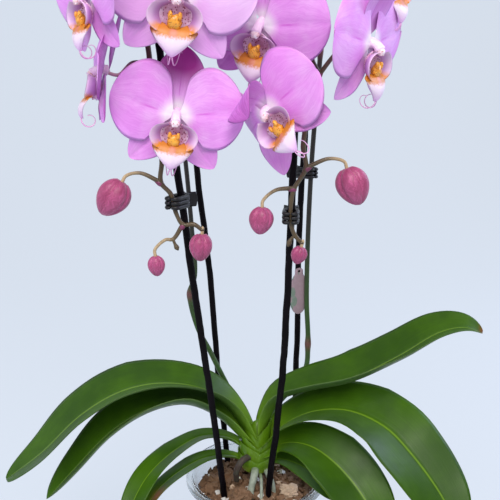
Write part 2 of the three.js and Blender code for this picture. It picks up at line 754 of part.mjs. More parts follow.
/** A split ring around a rod and the stem beside it, with two thumb tabs behind. */
function clipSolid({ side, share, front }) {
  const height = share * HOOP_HEIGHT;
  const rod = atHeight(hoopCurve(HOOPS[side]), height, front);
  const stem = atHeight(through(spikePoints(side)), height, front);
  const reach = stem.clone().sub(rod).setZ(0);
  const length = reach.length();
  const bore = ROD_RADIUS + CLEARANCE + CLIP_SLACK;
  const outer = bore + CLIP_WALL;
  const outline = new THREE.Shape();
  outline.absarc(length, 0, outer, -0.5 * Math.PI, 0.5 * Math.PI);
  outline.absarc(0, 0, outer, 0.5 * Math.PI, 1.5 * Math.PI);
  const inside = new THREE.Path();
  inside.absarc(length, 0, bore, -0.5 * Math.PI, 0.5 * Math.PI);
  inside.absarc(0, 0, bore, 0.5 * Math.PI, 1.5 * Math.PI);
  outline.holes.push(inside);
  const form = { depth: CLIP_HEIGHT, bevelEnabled: false, curveSegments: 4 };
  const ring = new THREE.ExtrudeGeometry(outline, form);
  ring.translate(0, 0, -CLIP_HEIGHT / 2);
  const mouth = new THREE.BoxGeometry(3 * CLIP_WALL, 0.8 * bore, 2 * CLIP_HEIGHT);
  mouth.translate(length + outer - 0.5 * CLIP_WALL, 0, 0);
  const parts = [1, -1].map((sign) => {
    const tab = new THREE.BoxGeometry(CLIP_TAB, CLIP_WALL, 0.9 * CLIP_HEIGHT);
    tab.rotateZ(sign * CLIP_TAB_TURN);
    tab.translate(-outer - 0.4 * CLIP_TAB, -sign * CLIP_TAB_APART, 0);
    return placed(tab, new THREE.Matrix4());
  });
  const barrel = new THREE.CylinderGeometry(1.6 * CLIP_WALL, 1.6 * CLIP_WALL, CLIP_HEIGHT, 8);
  barrel.rotateX(Math.PI / 2);
  barrel.translate(-outer - 0.6, 0, 0);
  const body = joined([cut(solidOf(ring), [solidOf(mouth)]), solidOf(barrel), ...parts]);
  const heading = Math.atan2(reach.y, reach.x);
  return body.rotate([0, 0, (heading * 180) / Math.PI]).translate([rod.x, rod.y, rod.z]);
}

function tagSolid() {
  const point = atHeight(hoopCurve(HOOPS.right), TAG_SHARE * HOOP_HEIGHT, false);
  const outline = new THREE.Shape();
  const half = TAG_WIDTH / 2;
  outline.absellipse(0, -TAG_LENGTH * 0.62, half, TAG_LENGTH * 0.38, Math.PI, 2 * Math.PI);
  outline.lineTo(0.7 * half, -TAG_NECK);
  outline.absarc(0, -TAG_NECK / 2, 0.62 * half, 0.1 * Math.PI, 0.9 * Math.PI);
  const hole = new THREE.Path().absarc(0, -0.65 * TAG_NECK, TAG_HOLE_RADIUS, 0, 2 * Math.PI);
  outline.holes.push(hole);
  const form = { depth: TAG_THICKNESS, bevelEnabled: false, curveSegments: 5 };
  const card = new THREE.ExtrudeGeometry(outline, form);
  card.rotateX(Math.PI / 2);
  card.rotateZ(TAG_TURN);
  const front = ROD_RADIUS + CLEARANCE + TAG_PLAY;
  card.translate(point.x, point.y - front, point.z);
  return solidOf(card);
}

// ---- The plant ----

const plant = new THREE.Group();
plant.position.z = BARK_LEVEL;

const crown = crownSolid();
const roomForCrown = crownSolid(CLEARANCE);
plant.add(piece('crown', crown, CROWN));

const hoopRoom = ['left', 'right'].map((side) => hoopSolid(side, CLEARANCE));
['left', 'right'].forEach((side) => plant.add(piece(`hoop_${side}`, hoopSolid(side), WIRE)));

ROOTS.forEach((root) => plant.add(piece(root.name, cut(rootSolid(root), [roomForCrown]), ROOT)));
LEAVES.forEach((leaf) => {
  plant.add(piece(leaf.name, cut(solidOf(leafGeometry(leaf)), [roomForCrown]), LEAF));
});

CHUNKS.forEach((lump) => plant.add(piece(lump.name, chunkSolid(lump), lump.look)));

const buried = [
  roomForCrown,
  ...hoopRoom,
  ...ROOTS.map((root) => rootSolid(root, CLEARANCE)),
  ...CHUNKS.map((lump) => chunkSolid(lump, 1.4 * CLEARANCE)),
];
plant.add(bark(buried));

['left', 'right'].forEach((side) => {
  plant.add(piece(`spike_${side}`, cut(spikeSolid(side), [roomForCrown]), STEM));
});

const body = blossomBody();
const lip = cut(lipBody(), [grownBody()]);

/** The blossom's middle and column, grown by the clearance, which the lip keeps out of. */
function grownBody() {
  const room = new THREE.SphereGeometry(HUB_RADIUS + CLEARANCE, 7, 5);
  return solidOf(room);
}

BLOSSOMS.forEach((blossom) => {
  const matrix = facing(blossomPlace(blossom), vec(...blossom.face), blossom.roll);
  matrix.scale(vec(blossom.size, blossom.size, blossom.size));
  plant.add(piece(`blossom_${blossom.name}`, body.transform(matrix.elements), PETAL));
  plant.add(piece(`lip_${blossom.name}`, lip.transform(matrix.elements), LIP));
});

BUDS.forEach((bud) => plant.add(piece(bud.name, budSolid(bud), BUD)));
CLIPS.forEach((clip) => plant.add(piece(clip.name, clipSolid(clip), CLIP)));
plant.add(piece('tag', tagSolid(), CARD));

const orchid = new THREE.Group();
orchid.add(pot(), plant);

export default orchid;
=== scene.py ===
"""A potted moth orchid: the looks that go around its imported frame.

Lengths in the classes are millimetres, and MM turns them into Blender's metres.
Points of the plant are counted from the middle of the bark's surface.
"""

import logging
import math
from collections.abc import Callable, Sequence
from dataclasses import dataclass, field
from enum import Enum

import bmesh
import bpy
from mathutils import Matrix, Quaternion, Vector, noise


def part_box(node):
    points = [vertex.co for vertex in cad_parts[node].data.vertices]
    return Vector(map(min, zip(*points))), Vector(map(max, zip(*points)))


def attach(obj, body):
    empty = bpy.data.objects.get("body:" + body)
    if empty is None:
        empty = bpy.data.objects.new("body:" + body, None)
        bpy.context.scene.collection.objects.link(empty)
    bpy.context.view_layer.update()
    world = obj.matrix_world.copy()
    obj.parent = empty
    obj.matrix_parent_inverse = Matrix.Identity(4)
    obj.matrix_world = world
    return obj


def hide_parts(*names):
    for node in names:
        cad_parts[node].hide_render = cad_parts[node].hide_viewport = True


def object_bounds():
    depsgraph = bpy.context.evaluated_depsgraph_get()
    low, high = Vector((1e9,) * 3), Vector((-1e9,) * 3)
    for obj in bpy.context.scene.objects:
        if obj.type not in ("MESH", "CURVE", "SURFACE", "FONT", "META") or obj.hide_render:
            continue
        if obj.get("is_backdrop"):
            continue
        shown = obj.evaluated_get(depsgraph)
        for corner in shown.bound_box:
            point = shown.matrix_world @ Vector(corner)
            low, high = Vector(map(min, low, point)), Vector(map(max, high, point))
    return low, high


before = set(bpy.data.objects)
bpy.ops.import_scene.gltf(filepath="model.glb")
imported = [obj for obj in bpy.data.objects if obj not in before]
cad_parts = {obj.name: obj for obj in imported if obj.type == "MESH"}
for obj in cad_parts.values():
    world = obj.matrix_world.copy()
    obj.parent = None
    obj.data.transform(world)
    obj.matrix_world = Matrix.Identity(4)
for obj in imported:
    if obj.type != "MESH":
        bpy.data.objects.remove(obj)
CAD_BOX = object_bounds()

MM = 0.001
BODY = "root"
UV_NAME = "surface"
TONE_NAME = "tone"
DEEP_NAME = "deep"
RADIUS_NAME = "strand_radius"
CHIP_NAME = "chip_tone"
BARK_BELOW_RIM = 12.0

log = logging.getLogger("orchid")
Colour = tuple[float, float, float, float]
Place = Callable[[float, float], Vector]


class Side(Enum):
    """The two flower spikes and their hoops."""

    LEFT = "left"
    RIGHT = "right"


# ---- Small sums ----


def shade(code: str) -> Colour:
    """The linear colour of a six-digit hexadecimal code."""
    parts = [int(code[k : k + 2], 16) / 255 for k in (0, 2, 4)]
    linear = [c / 12.92 if c <= 0.04045 else ((c + 0.055) / 1.055) ** 2.4 for c in parts]
    return (linear[0], linear[1], linear[2], 1.0)


def blend(first: Colour, second: Colour, share: float) -> Colour:
    """A colour at a share of the way between two."""
    return tuple(a + (b - a) * share for a, b in zip(first, second))


def mix(first: float, second: float, share: float) -> float:
    """A number at a share of the way between two."""
    return first + (second - first) * share


def ramp(low: float, high: float, value: float) -> float:
    """A smooth step from 0 at low to 1 at high."""
    share = max(0.0, min(1.0, (value - low) / (high - low)))
    return share * share * (3 - 2 * share)


def bump_at(value: float, middle: float, spread: float) -> float:
    """A bell that is 1 at the middle and falls off over the spread."""
    return math.exp(-(((value - middle) / spread) ** 2))


def smooth_path(points: Sequence[Vector], steps: int) -> list[Vector]:
    """A centripetal curve through all of the points.

    Args:
        points: The points that the curve passes through.
        steps: How many steps it takes between each two of them.

    Returns:
        The points of the curve, with both ends.
    """
    first = points[0] * 2 - points[1]
    last = points[-1] * 2 - points[-2]
    row = [first, *points, last]
    out: list[Vector] = []
    for k in range(1, len(row) - 2):
        p0, p1, p2, p3 = row[k - 1 : k + 3]
        t0 = 0.0
        t1 = t0 + max(1e-6, (p1 - p0).length) ** 0.5
        t2 = t1 + max(1e-6, (p2 - p1).length) ** 0.5
        t3 = t2 + max(1e-6, (p3 - p2).length) ** 0.5
        for step in range(steps):
            t = mix(t1, t2, step / steps)
            a1 = p0.lerp(p1, (t - t0) / (t1 - t0))
            a2 = p1.lerp(p2, (t - t1) / (t2 - t1))
            a3 = p2.lerp(p3, (t - t2) / (t3 - t2))
            b1 = a1.lerp(a2, (t - t0) / (t2 - t0))
            b2 = a2.lerp(a3, (t - t1) / (t3 - t1))
            out.append(b1.lerp(b2, (t - t1) / (t2 - t1)))
    out.append(points[-1].copy())
    return out


def even_path(points: Sequence[Vector], count: int) -> list[Vector]:
    """The same path with evenly spaced points.

    Args:
        points: A path.
        count: How many steps the new path has.

    Returns:
        count + 1 points along it.
    """
    lengths = [0.0]
    for before, after in zip(points, points[1:]):
        lengths.append(lengths[-1] + (after - before).length)
    out: list[Vector] = []
    at = 0
    for step in range(count + 1):
        wanted = lengths[-1] * step / count
        while at < len(points) - 2 and lengths[at + 1] < wanted:
            at += 1
        span = max(1e-9, lengths[at + 1] - lengths[at])
        out.append(points[at].lerp(points[at + 1], (wanted - lengths[at]) / span))
    return out


def directions(points: Sequence[Vector]) -> list[Vector]:
    """The unit direction of a path at each of its points."""
    last = len(points) - 1
    return [(points[min(last, k + 1)] - points[max(0, k - 1)]).normalized() for k in range(last + 1)]


def way_at(tilt: float, turn: float) -> Vector:
    """A unit direction, by its angle from straight down and its turn about Z."""
    out = math.sin(tilt)
    return Vector((out * math.cos(turn), out * math.sin(turn), -math.cos(tilt)))


# ---- Meshes ----


class Shape:
    """The vertices and faces of one piece, gathered from closed parts, in millimetres.

    Every face corner has a place on the surface (u across, v along), and every vertex a tone, which
    is a colour that its material may use, and a depth, which darkens it: deeper colour and painted
    shade on petals, scars on leaves.
    """

    def __init__(self) -> None:
        """Starts with nothing."""
        self.points: list[Vector] = []
        self.faces: list[tuple[int, ...]] = []
        self.corners: list[tuple[tuple[float, float], ...]] = []
        self.slots: list[int] = []
        self.tones: list[Colour] = []
        self.deeps: list[float] = []

    def _add(self, points: Sequence[Vector], tone: Colour, deeps: Sequence[float] | None) -> int:
        """Adds vertices and gives the number of the first."""
        start = len(self.points)
        self.points.extend(points)
        self.tones.extend([tone] * len(points))
        self.deeps.extend(deeps if deeps is not None else [0.0] * len(points))
        return start

    def rings(
        self,
        rings: Sequence[Sequence[Vector]],
        start: Vector,
        end: Vector,
        slot: int = 0,
        tone: Colour = (1, 1, 1, 1),
    ) -> None:
        """Adds a closed skin through rings of points.

        Args:
            rings: Rings with as many points each.
            start: The pole that closes the first ring.
            end: The pole that closes the last ring.
            slot: The number of its material.
            tone: Its colour for materials that read one.
        """
        across = len(rings[0])
        base = self._add([p for ring in rings for p in ring], tone, None)
        rows = len(rings) - 1
        for row in range(rows):
            below = base + row * across
            above = below + across
            for k in range(across):
                n = (k + 1) % across
                u0, u1 = k / across, (k + 1) / across
                v0, v1 = row / rows, (row + 1) / rows
                self.faces.append((below + k, below + n, above + n, above + k))
                self.corners.append(((u0, v0), (u1, v0), (u1, v1), (u0, v1)))
                self.slots.append(slot)
        poles = self._add([start, end], tone, None)
        top = base + rows * across
        for k in range(across):
            n = (k + 1) % across
            u0, u1 = k / across, (k + 1) / across
            self.faces.append((poles, base + n, base + k))
            self.corners.append(((0.5, 0.0), (u1, 0.0), (u0, 0.0)))
            self.faces.append((poles + 1, top + k, top + n))
            self.corners.append(((0.5, 1.0), (u0, 1.0), (u1, 1.0)))
            self.slots.extend([slot, slot])

    def lathe(self, outline: Sequence[tuple[float, float]], sides: int, place: Matrix, slot: int = 0) -> None:
        """Adds a turned form whose outline (radius, height) starts and ends near the axis."""
        rings = []
        for radius, height in outline:
            turns = [2 * math.pi * k / sides for k in range(sides)]
            around = [Vector((radius * math.cos(a), radius * math.sin(a), height)) for a in turns]
            rings.append([place @ point for point in around])
        low = place @ Vector((0, 0, outline[0][1]))
        high = place @ Vector((0, 0, outline[-1][1]))
        self.rings(rings, low, high, slot)

    def ball(self, middle: Vector, size: Vector, slot: int = 0, lumps: float = 0.0) -> None:
        """Adds a rounded lump.

        Args:
            middle: Its middle.
            size: Its half sizes along X, Y and Z.
            slot: The number of its material.
            lumps: How uneven it is, as a share of its size.
        """
        rings = []
        levels, sides = 9, 14
        for level in range(1, levels):
            tilt = math.pi * level / levels
            ring = []
            for k in range(sides):
                turn = 2 * math.pi * k / sides
                way = way_at(tilt, turn)
                swell = 1 + lumps * noise.noise(way * 2.3 + middle)
                ring.append(middle + Vector((way.x * size.x, way.y * size.y, way.z * size.z)) * swell)
            rings.append(ring)
        self.rings(rings, middle - Vector((0, 0, size.z)), middle + Vector((0, 0, size.z)), slot)

    def tube(
        self,
        path: Sequence[Vector],
        radius: Callable[[float], float],
        sides: int,
        slot: int = 0,
    ) -> None:
        """Adds a tapered tube along a path.

        Args:
            path: Its middle line.
            radius: Its radius at a share of its length.
            sides: How many sides it has.
            slot: The number of its material.
        """
        ways = directions(path)
        normal = ways[0].orthogonal().normalized()
        rings = []
        for k, (point, way) in enumerate(zip(path, ways)):
            normal = (normal - way * normal.dot(way)).normalized()
            other = way.cross(normal)
            reach = radius(k / (len(path) - 1))
            turns = [2 * math.pi * side / sides for side in range(sides)]
            rings.append([point + (normal * math.cos(a) + other * math.sin(a)) * reach for a in turns])
        start = path[0] - ways[0] * radius(0) * 0.5
        end = path[-1] + ways[-1] * radius(1) * 0.5
        self.rings(rings, start, end, slot)

    def blade(
        self,
        place: Place,
        thickness: float,
        rows: int,
        columns: int,
        slots: tuple[int, int] = (0, 1),
        turned: bool = False,
        deep: Callable[[float, float], float] | None = None,
    ) -> None:
        """Adds a thin curved blade that is full along its middle and thin at its edge.

        Args:
            place: The point of its upper face at (along 0 to 1, across -1 to 1).
            thickness: Its thickness along the middle.
            rows: How many steps it has along.
            columns: How many steps it has across.
            slots: The numbers of the materials of its upper and its under face.
            turned: True if its upper face is the other one.
            deep: How dark it is at (along, across).
        """
        grid = []
        for row in range(rows + 1):
            along = (1 - math.cos(math.pi * row / rows)) / 2
            grid.append([(along, 2 * column / columns - 1) for column in range(columns + 1)])
        top = [[place(*spot) for spot in line] for line in grid]
        shades = [deep(*spot) if deep else 0.0 for line in grid for spot in line]
        base = self._add([p for line in top for p in line], (1, 1, 1, 1), shades)
        under: dict[tuple[int, int], int] = {}
        for row in range(1, rows):
            for column in range(1, columns):
                along, across = grid[row][column]
                wide = top[row][column + 1] - top[row][column - 1]
                long = top[row + 1][column] - top[row - 1][column]
                out = wide.cross(long).normalized() * (-1 if turned else 1)
                full = thickness * (1 - across**4) * (1 - (2 * along - 1) ** 8)
                shade_here = shades[row * (columns + 1) + column]
                under[row, column] = self._add([top[row][column] - out * full], (1, 1, 1, 1), [shade_here])
        for row in range(rows):
            for column in range(columns):
                spots = [(row, column), (row, column + 1), (row + 1, column + 1), (row + 1, column)]
                upper = [base + r * (columns + 1) + c for r, c in spots]
                lower = [under.get(spot, index) for spot, index in zip(spots, upper)]
                places = [((grid[r][c][1] + 1) / 2, grid[r][c][0]) for r, c in spots]
                if turned:
                    upper, lower = lower, upper
                self._face(upper, places, slots[1] if turned else slots[0])
                self._face(lower[::-1], places[::-1], slots[0] if turned else slots[1])

    def _face(self, indices: Sequence[int], places: Sequence[tuple[float, float]], slot: int) -> None:
        """Adds one face with its places on the surface."""
        self.faces.append(tuple(indices))
        self.corners.append(tuple(places))
        self.slots.append(slot)

    def moved(self, matrix: Matrix) -> "Shape":
        """Moves every point by a matrix and gives the shape back."""
        self.points = [matrix @ p for p in self.points]
        return self

    def build(
        self, name: str, materials: Sequence[bpy.types.Material], smooth: bool = True
    ) -> bpy.types.Object:
        """Makes the Blender object.

        Args:
            name: The piece's name.
            materials: Its materials in the order of the slots.
            smooth: False leaves its faces flat.

        Returns:
            The object, at the origin, with its place in its mesh.
        """
        mesh = bpy.data.meshes.new(name)
        mesh.from_pydata([p * MM for p in self.points], [], self.faces)
        layer = mesh.uv_layers.new(name=UV_NAME)
        flat = [value for corners in self.corners for corner in corners for value in corner]
        layer.data.foreach_set("uv", flat)
        mesh.polygons.foreach_set("material_index", self.slots)
        mesh.polygons.foreach_set("use_smooth", [smooth] * len(self.faces))
        tones = mesh.attributes.new(TONE_NAME, "FLOAT_COLOR", "POINT")
        tones.data.foreach_set("color", [c for tone in self.tones for c in tone])
        deeps = mesh.attributes.new(DEEP_NAME, "FLOAT", "POINT")
        deeps.data.foreach_set("value", self.deeps)
        for material in materials:
            mesh.materials.append(material)
        point_outwards(mesh)
        piece = bpy.data.objects.new(name, mesh)
        bpy.context.scene.collection.objects.link(piece)
        return piece


def point_outwards(mesh: bpy.types.Mesh) -> None:
    """Turns the faces of a mesh's closed parts outwards."""
    work = bmesh.new()
    work.from_mesh(mesh)
    bmesh.ops.recalc_face_normals(work, faces=work.faces)
    work.to_mesh(mesh)
    work.free()
    mesh.update()


def cut(piece: bpy.types.Object, cutter: bpy.types.Object) -> None:
    """Cuts one object out of a piece and removes it.

    Args:
        piece: The piece, whose mesh becomes the cut one.
        cutter: What is cut out.
    """
    tool = piece.modifiers.new("cut", "BOOLEAN")
    tool.operation = "DIFFERENCE"
    tool.solver = "EXACT"
    tool.object = cutter
    bpy.context.view_layer.update()
    mesh = bpy.data.meshes.new_from_object(piece.evaluated_get(bpy.context.evaluated_depsgraph_get()))
    piece.modifiers.remove(tool)
    piece.data = mesh
    bpy.data.objects.remove(cutter)


def settle(piece: bpy.types.Object, slot: str, *nodes: str) -> None:
    """Hangs a finished piece on the frame.

    Args:
        piece: The piece.
        slot: The record's material slot of the piece; it is not used.
        nodes: The nodes of the frame that it stands for.
    """
    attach(piece, BODY)
    if nodes:
        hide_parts(*nodes)
    log.info("%s: %d faces, for %s", piece.name, len(piece.data.polygons), ", ".join(nodes) or "no node")


# ---- Node trees ----


class Board:
    """A node tree with short ways to add and join nodes."""

    def __init__(self, tree: bpy.types.NodeTree) -> None:
        """Works on a tree."""
        self.tree = tree

    def fill(self, node: bpy.types.Node, inputs: dict) -> None:
        """Gives a node its inputs.

        Args:
            node: The node.
            inputs: A socket or a value for each input, by its name or number.
        """
        for key, value in inputs.items():
            if isinstance(value, bpy.types.NodeSocket):
                self.tree.links.new(value, node.inputs[key])
            else:
                node.inputs[key].default_value = value

    def put(self, kind: str, inputs: dict | None = None, **settings: object) -> bpy.types.Node:
        """Adds a node.

        Args:
            kind: The node's type.
            inputs: What goes into its inputs by name or number: a socket or a value.
            settings: Its own settings.

        Returns:
            The node.
        """
        node = self.tree.nodes.new(kind)
        for key, value in settings.items():
            setattr(node, key, value)
        self.fill(node, inputs or {})
        return node

    def sum(self, what: str, *values: object) -> bpy.types.NodeSocket:
        """The result of one Math node."""
        return self.put("ShaderNodeMath", dict(enumerate(values)), operation=what).outputs[0]

    def step(self, value: object, low: float, high: float) -> bpy.types.NodeSocket:
        """A smooth step from 0 at low to 1 at high, or from 1 to 0 if low is above high."""
        turned = low > high
        settings = {"Value": value, "From Min": min(low, high), "From Max": max(low, high)}
        if turned:
            settings.update({"To Min": 1.0, "To Max": 0.0})
        return self.put("ShaderNodeMapRange", settings, interpolation_type="SMOOTHSTEP").outputs[0]

    def tinted(self, share: object, first: object, second: object) -> bpy.types.NodeSocket:
        """A colour between two, by a share."""
        node = self.put("ShaderNodeMix", data_type="RGBA")
        self.fill(node, {0: share, 6: first, 7: second})
        return node.outputs[2]

    def group(self, tree: bpy.types.NodeTree, inputs: dict) -> bpy.types.Node:
        """Places a shader group with its own values."""
        node = self.put("ShaderNodeGroup")
        node.node_tree = tree
        self.fill(node, inputs)
        return node


def new_group(
    name: str, inputs: dict[str, tuple[str, object]], outputs: dict[str, str], kind: str = "ShaderNodeTree"
) -> Board:
    """Starts a node group.

    Args:
        name: Its name.
        inputs: The kind and the value at rest of each input.
        outputs: The kind of each output.
        kind: The type of the tree.

    Returns:
        A board on the group, which holds its Group Input node as the first node.
    """
    tree = bpy.data.node_groups.new(name, kind)
    for key, (socket_kind, value) in inputs.items():
        socket = tree.interface.new_socket(key, in_out="INPUT", socket_type=socket_kind)
        if value is not None:
            socket.default_value = value
    for key, socket_kind in outputs.items():
        tree.interface.new_socket(key, in_out="OUTPUT", socket_type=socket_kind)
    board = Board(tree)
    board.put("NodeGroupInput")
    return board


class Effects:
    """The shader groups that more than one material uses, each built once."""

    _made: dict[str, bpy.types.NodeTree] = {}

    @classmethod
    def get(cls, name: str, make: Callable[[], bpy.types.NodeTree]) -> bpy.types.NodeTree:
        """A group by name, built the first time."""
        if name not in cls._made:
            cls._made[name] = make()
        return cls._made[name]

    @classmethod
    def veins(cls) -> bpy.types.NodeTree:
        """Fine lengthwise veins, from the piece's places on its surface: Count, Waver -> Mask."""

        def make() -> bpy.types.NodeTree:
            """Builds the group."""
            inputs = {
                "Count": ("NodeSocketFloat", 30.0),
                "Waver": ("NodeSocketFloat", 0.3),
                "Sharpness": ("NodeSocketFloat", 3.0),
            }
            board = new_group("Veins", inputs, {"Mask": "NodeSocketFloat"})
            given = board.tree.nodes[0].outputs
            spot = board.put("ShaderNodeUVMap", uv_map=UV_NAME).outputs[0]
            split = board.put("ShaderNodeSeparateXYZ", {0: spot}).outputs
            soft = board.put("ShaderNodeTexNoise", {"Vector": spot, "Scale": 5.0, "Detail": 2.0}).outputs[0]
            drift = board.sum("MULTIPLY", soft, given["Waver"])
            lines = board.sum("MULTIPLY", board.sum("ADD", split[0], drift), given["Count"])
            along = board.sum("MULTIPLY", split[1], 2.0)
            way = board.put("ShaderNodeCombineXYZ", {0: lines, 1: along})
            grain = board.put("ShaderNodeTexNoise", {"Vector": way.outputs[0], "Scale": 1.0, "Detail": 3.0})
            off = board.sum("ABSOLUTE", board.sum("SUBTRACT", grain.outputs[0], 0.5))
            peak = board.sum("SUBTRACT", 1.0, off)
            mask = board.sum("POWER", peak, board.sum("MULTIPLY", given["Sharpness"], 4.0))
            board.put("NodeGroupOutput", {"Mask": mask})
            return board.tree

        return cls.get("veins", make)

    @classmethod
    def mottle(cls) -> bpy.types.NodeTree:
        """Soft patches of tone in the piece's own space: Scale, Low, High, Stretch -> Value."""

        def make() -> bpy.types.NodeTree:
            """Builds the group."""
            inputs = {
                "Scale": ("NodeSocketFloat", 60.0),
                "Low": ("NodeSocketFloat", 0.35),
                "High": ("NodeSocketFloat", 0.65),
                "Stretch": ("NodeSocketVector", (1.0, 1.0, 1.0)),
            }
            board = new_group("Mottle", inputs, {"Value": "NodeSocketFloat"})
            given = board.tree.nodes[0].outputs
            spot = board.put("ShaderNodeTexCoord").outputs["Object"]
            moved = board.put("ShaderNodeMapping", {"Vector": spot, "Scale": given["Stretch"]}).outputs[0]
            noise_node = {"Vector": moved, "Scale": given["Scale"], "Detail": 4.0, "Roughness": 0.6}
            grain = board.put("ShaderNodeTexNoise", noise_node).outputs[0]
            ends = {"Value": grain, "From Min": given["Low"], "From Max": given["High"]}
            value = board.put("ShaderNodeMapRange", ends, interpolation_type="SMOOTHSTEP").outputs[0]
            board.put("NodeGroupOutput", {"Value": value})
            return board.tree

        return cls.get("mottle", make)

    @classmethod
    def specks(cls) -> bpy.types.NodeTree:
        """Round spots in the piece's own space: Scale, Size -> Mask."""

        def make() -> bpy.types.NodeTree:
            """Builds the group."""
            inputs = {"Scale": ("NodeSocketFloat", 900.0), "Size": ("NodeSocketFloat", 0.3)}
            board = new_group("Specks", inputs, {"Mask": "NodeSocketFloat"})
            given = board.tree.nodes[0].outputs
            spot = board.put("ShaderNodeTexCoord").outputs["Object"]
            dots = board.put("ShaderNodeTexVoronoi", {"Vector": spot, "Scale": given["Scale"]})
            cells = dots.outputs["Distance"]
            rim = board.sum("MULTIPLY", given["Size"], 1.5)
            ends = {"Value": cells, "From Min": given["Size"], "From Max": rim, "To Min": 1.0, "To Max": 0.0}
            mask = board.put("ShaderNodeMapRange", ends).outputs[0]
            board.put("NodeGroupOutput", {"Mask": mask})
            return board.tree

        return cls.get("specks", make)


@dataclass(frozen=True)
class Finish:
    """What every finish has: a name, a roughness and a fine grain."""

    name: str
    roughness: float = 0.5
    coat: float = 0.0
    sheen: float = 0.0
    sheen_tint: Colour = (1.0, 1.0, 1.0, 1.0)
    grain_scale: float = 900.0
    grain_depth: float = 0.1
    grain_reach: float = 0.0006
    specular: float = 0.5

    def colour(self, board: Board) -> bpy.types.NodeSocket:
        """The socket with the surface's colour."""
        raise NotImplementedError

    def height(self, board: Board) -> bpy.types.NodeSocket:
        """The socket with the height of the surface's grain."""
        spot = board.put("ShaderNodeTexCoord").outputs["Object"]
        settings = {"Vector": spot, "Scale": self.grain_scale, "Detail": 3.0}
        return board.put("ShaderNodeTexNoise", settings).outputs[0]

    def adjust(self, board: Board, shader: bpy.types.Node) -> None:
        """Sets what only this finish has on its shader."""

    def material(self) -> bpy.types.Material:
        """The material, built the first time that it is asked for."""
        known = bpy.data.materials.get(self.name)
        if known:
            return known
        material = bpy.data.materials.new(self.name)
        material.use_nodes = True
        material.node_tree.nodes.clear()
        board = Board(material.node_tree)
        patches = board.group(Effects.mottle(), {"Scale": 70.0, "Low": 0.3, "High": 0.7}).outputs[0]
        low, high = 0.85 * self.roughness, min(1.0, 1.15 * self.roughness)
        rough = board.put("ShaderNodeMapRange", {"Value": patches, "To Min": low, "To Max": high}).outputs[0]
        relief = {"Height": self.height(board), "Strength": self.grain_depth, "Distance": self.grain_reach}
        bump = board.put("ShaderNodeBump", relief).outputs[0]
        inputs = {"Base Color": self.colour(board), "Roughness": rough, "Normal": bump}
        shader = board.put("ShaderNodeBsdfPrincipled", inputs)
        shader.inputs["Coat Weight"].default_value = self.coat
        shader.inputs["Coat Roughness"].default_value = 0.25
        shader.inputs["Sheen Weight"].default_value = self.sheen
        shader.inputs["Sheen Tint"].default_value = self.sheen_tint
        shader.inputs["Specular IOR Level"].default_value = self.specular
        self.adjust(board, shader)
        board.put("ShaderNodeOutputMaterial", {"Surface": shader.outputs[0]})
        return material


@dataclass(frozen=True)
class PetalFinish(Finish):
    """A petal's face: pink with fine veins, deeper colour and painted shade where its depth says, and white
    where it is below 0.
    """

    white: Colour = field(default_factory=lambda: shade("f3e6f3"))
    pink: Colour = field(default_factory=lambda: shade("e795ea"))
    pale: Colour = field(default_factory=lambda: shade("ecb0ef"))
    vein: Colour = field(default_factory=lambda: shade("c95fcf"))
    streak: Colour = field(default_factory=lambda: shade("cc48cb"))
    # The depth's deeper magenta: deeper colour and painted shade.
    deep: Colour = field(default_factory=lambda: shade("a41a8a"))

    def colour(self, board: Board) -> bpy.types.NodeSocket:
        """Pale patches, veins, middle streak, white, and the depth's deeper colour and painted shade."""
        spot = board.put("ShaderNodeUVMap", uv_map=UV_NAME).outputs[0]
        across, along, _ = board.put("ShaderNodeSeparateXYZ", {0: spot}).outputs
        patches = board.group(Effects.mottle(), {"Scale": 45.0, "Low": 0.35, "High": 0.7}).outputs[0]
        colour = board.tinted(patches, self.pink, self.pale)
        veins = board.group(Effects.veins(), {"Count": 30.0, "Waver": 0.12, "Sharpness": 4.0}).outputs[0]
        colour = board.tinted(board.sum("MULTIPLY", veins, 0.3), colour, self.vein)
        off = board.sum("ABSOLUTE", board.sum("SUBTRACT", across, 0.5))
        line = board.step(off, 0.022, 0.0)
        reach = board.sum("MULTIPLY", board.step(along, 0.2, 0.34), board.step(along, 0.62, 0.4))
        share = board.sum("MULTIPLY", board.sum("MULTIPLY", line, reach), 0.6)
        colour = board.tinted(share, colour, self.streak)
        # The depth: the white centre below 0, deeper colour and painted shade above it.
        colour_and_shade_depth = board.put("ShaderNodeAttribute", attribute_name=DEEP_NAME).outputs["Fac"]
        colour = board.tinted(board.sum("MULTIPLY", colour_and_shade_depth, -1.0), colour, self.white)
        return board.tinted(colour_and_shade_depth, colour, self.deep)


@dataclass(frozen=True)
class VeinedFinish(Finish):
    """A surface with lengthwise veins between two colours, such as a petal's back."""

    first: Colour = (1.0, 1.0, 1.0, 1.0)
    second: Colour = (1.0, 1.0, 1.0, 1.0)
    vein: Colour = (1.0, 1.0, 1.0, 1.0)
    count: float = 26.0
    strength: float = 0.4

    def colour(self, board: Board) -> bpy.types.NodeSocket:
        """Two tones in patches with veins over them."""
        patches = board.group(Effects.mottle(), {"Scale": 60.0, "Low": 0.35, "High": 0.65}).outputs[0]
        colour = board.tinted(patches, self.first, self.second)
        settings = {"Count": self.count, "Waver": 0.15, "Sharpness": 3.0}
        veins = board.group(Effects.veins(), settings).outputs[0]
        return board.tinted(board.sum("MULTIPLY", veins, self.strength), colour, self.vein)


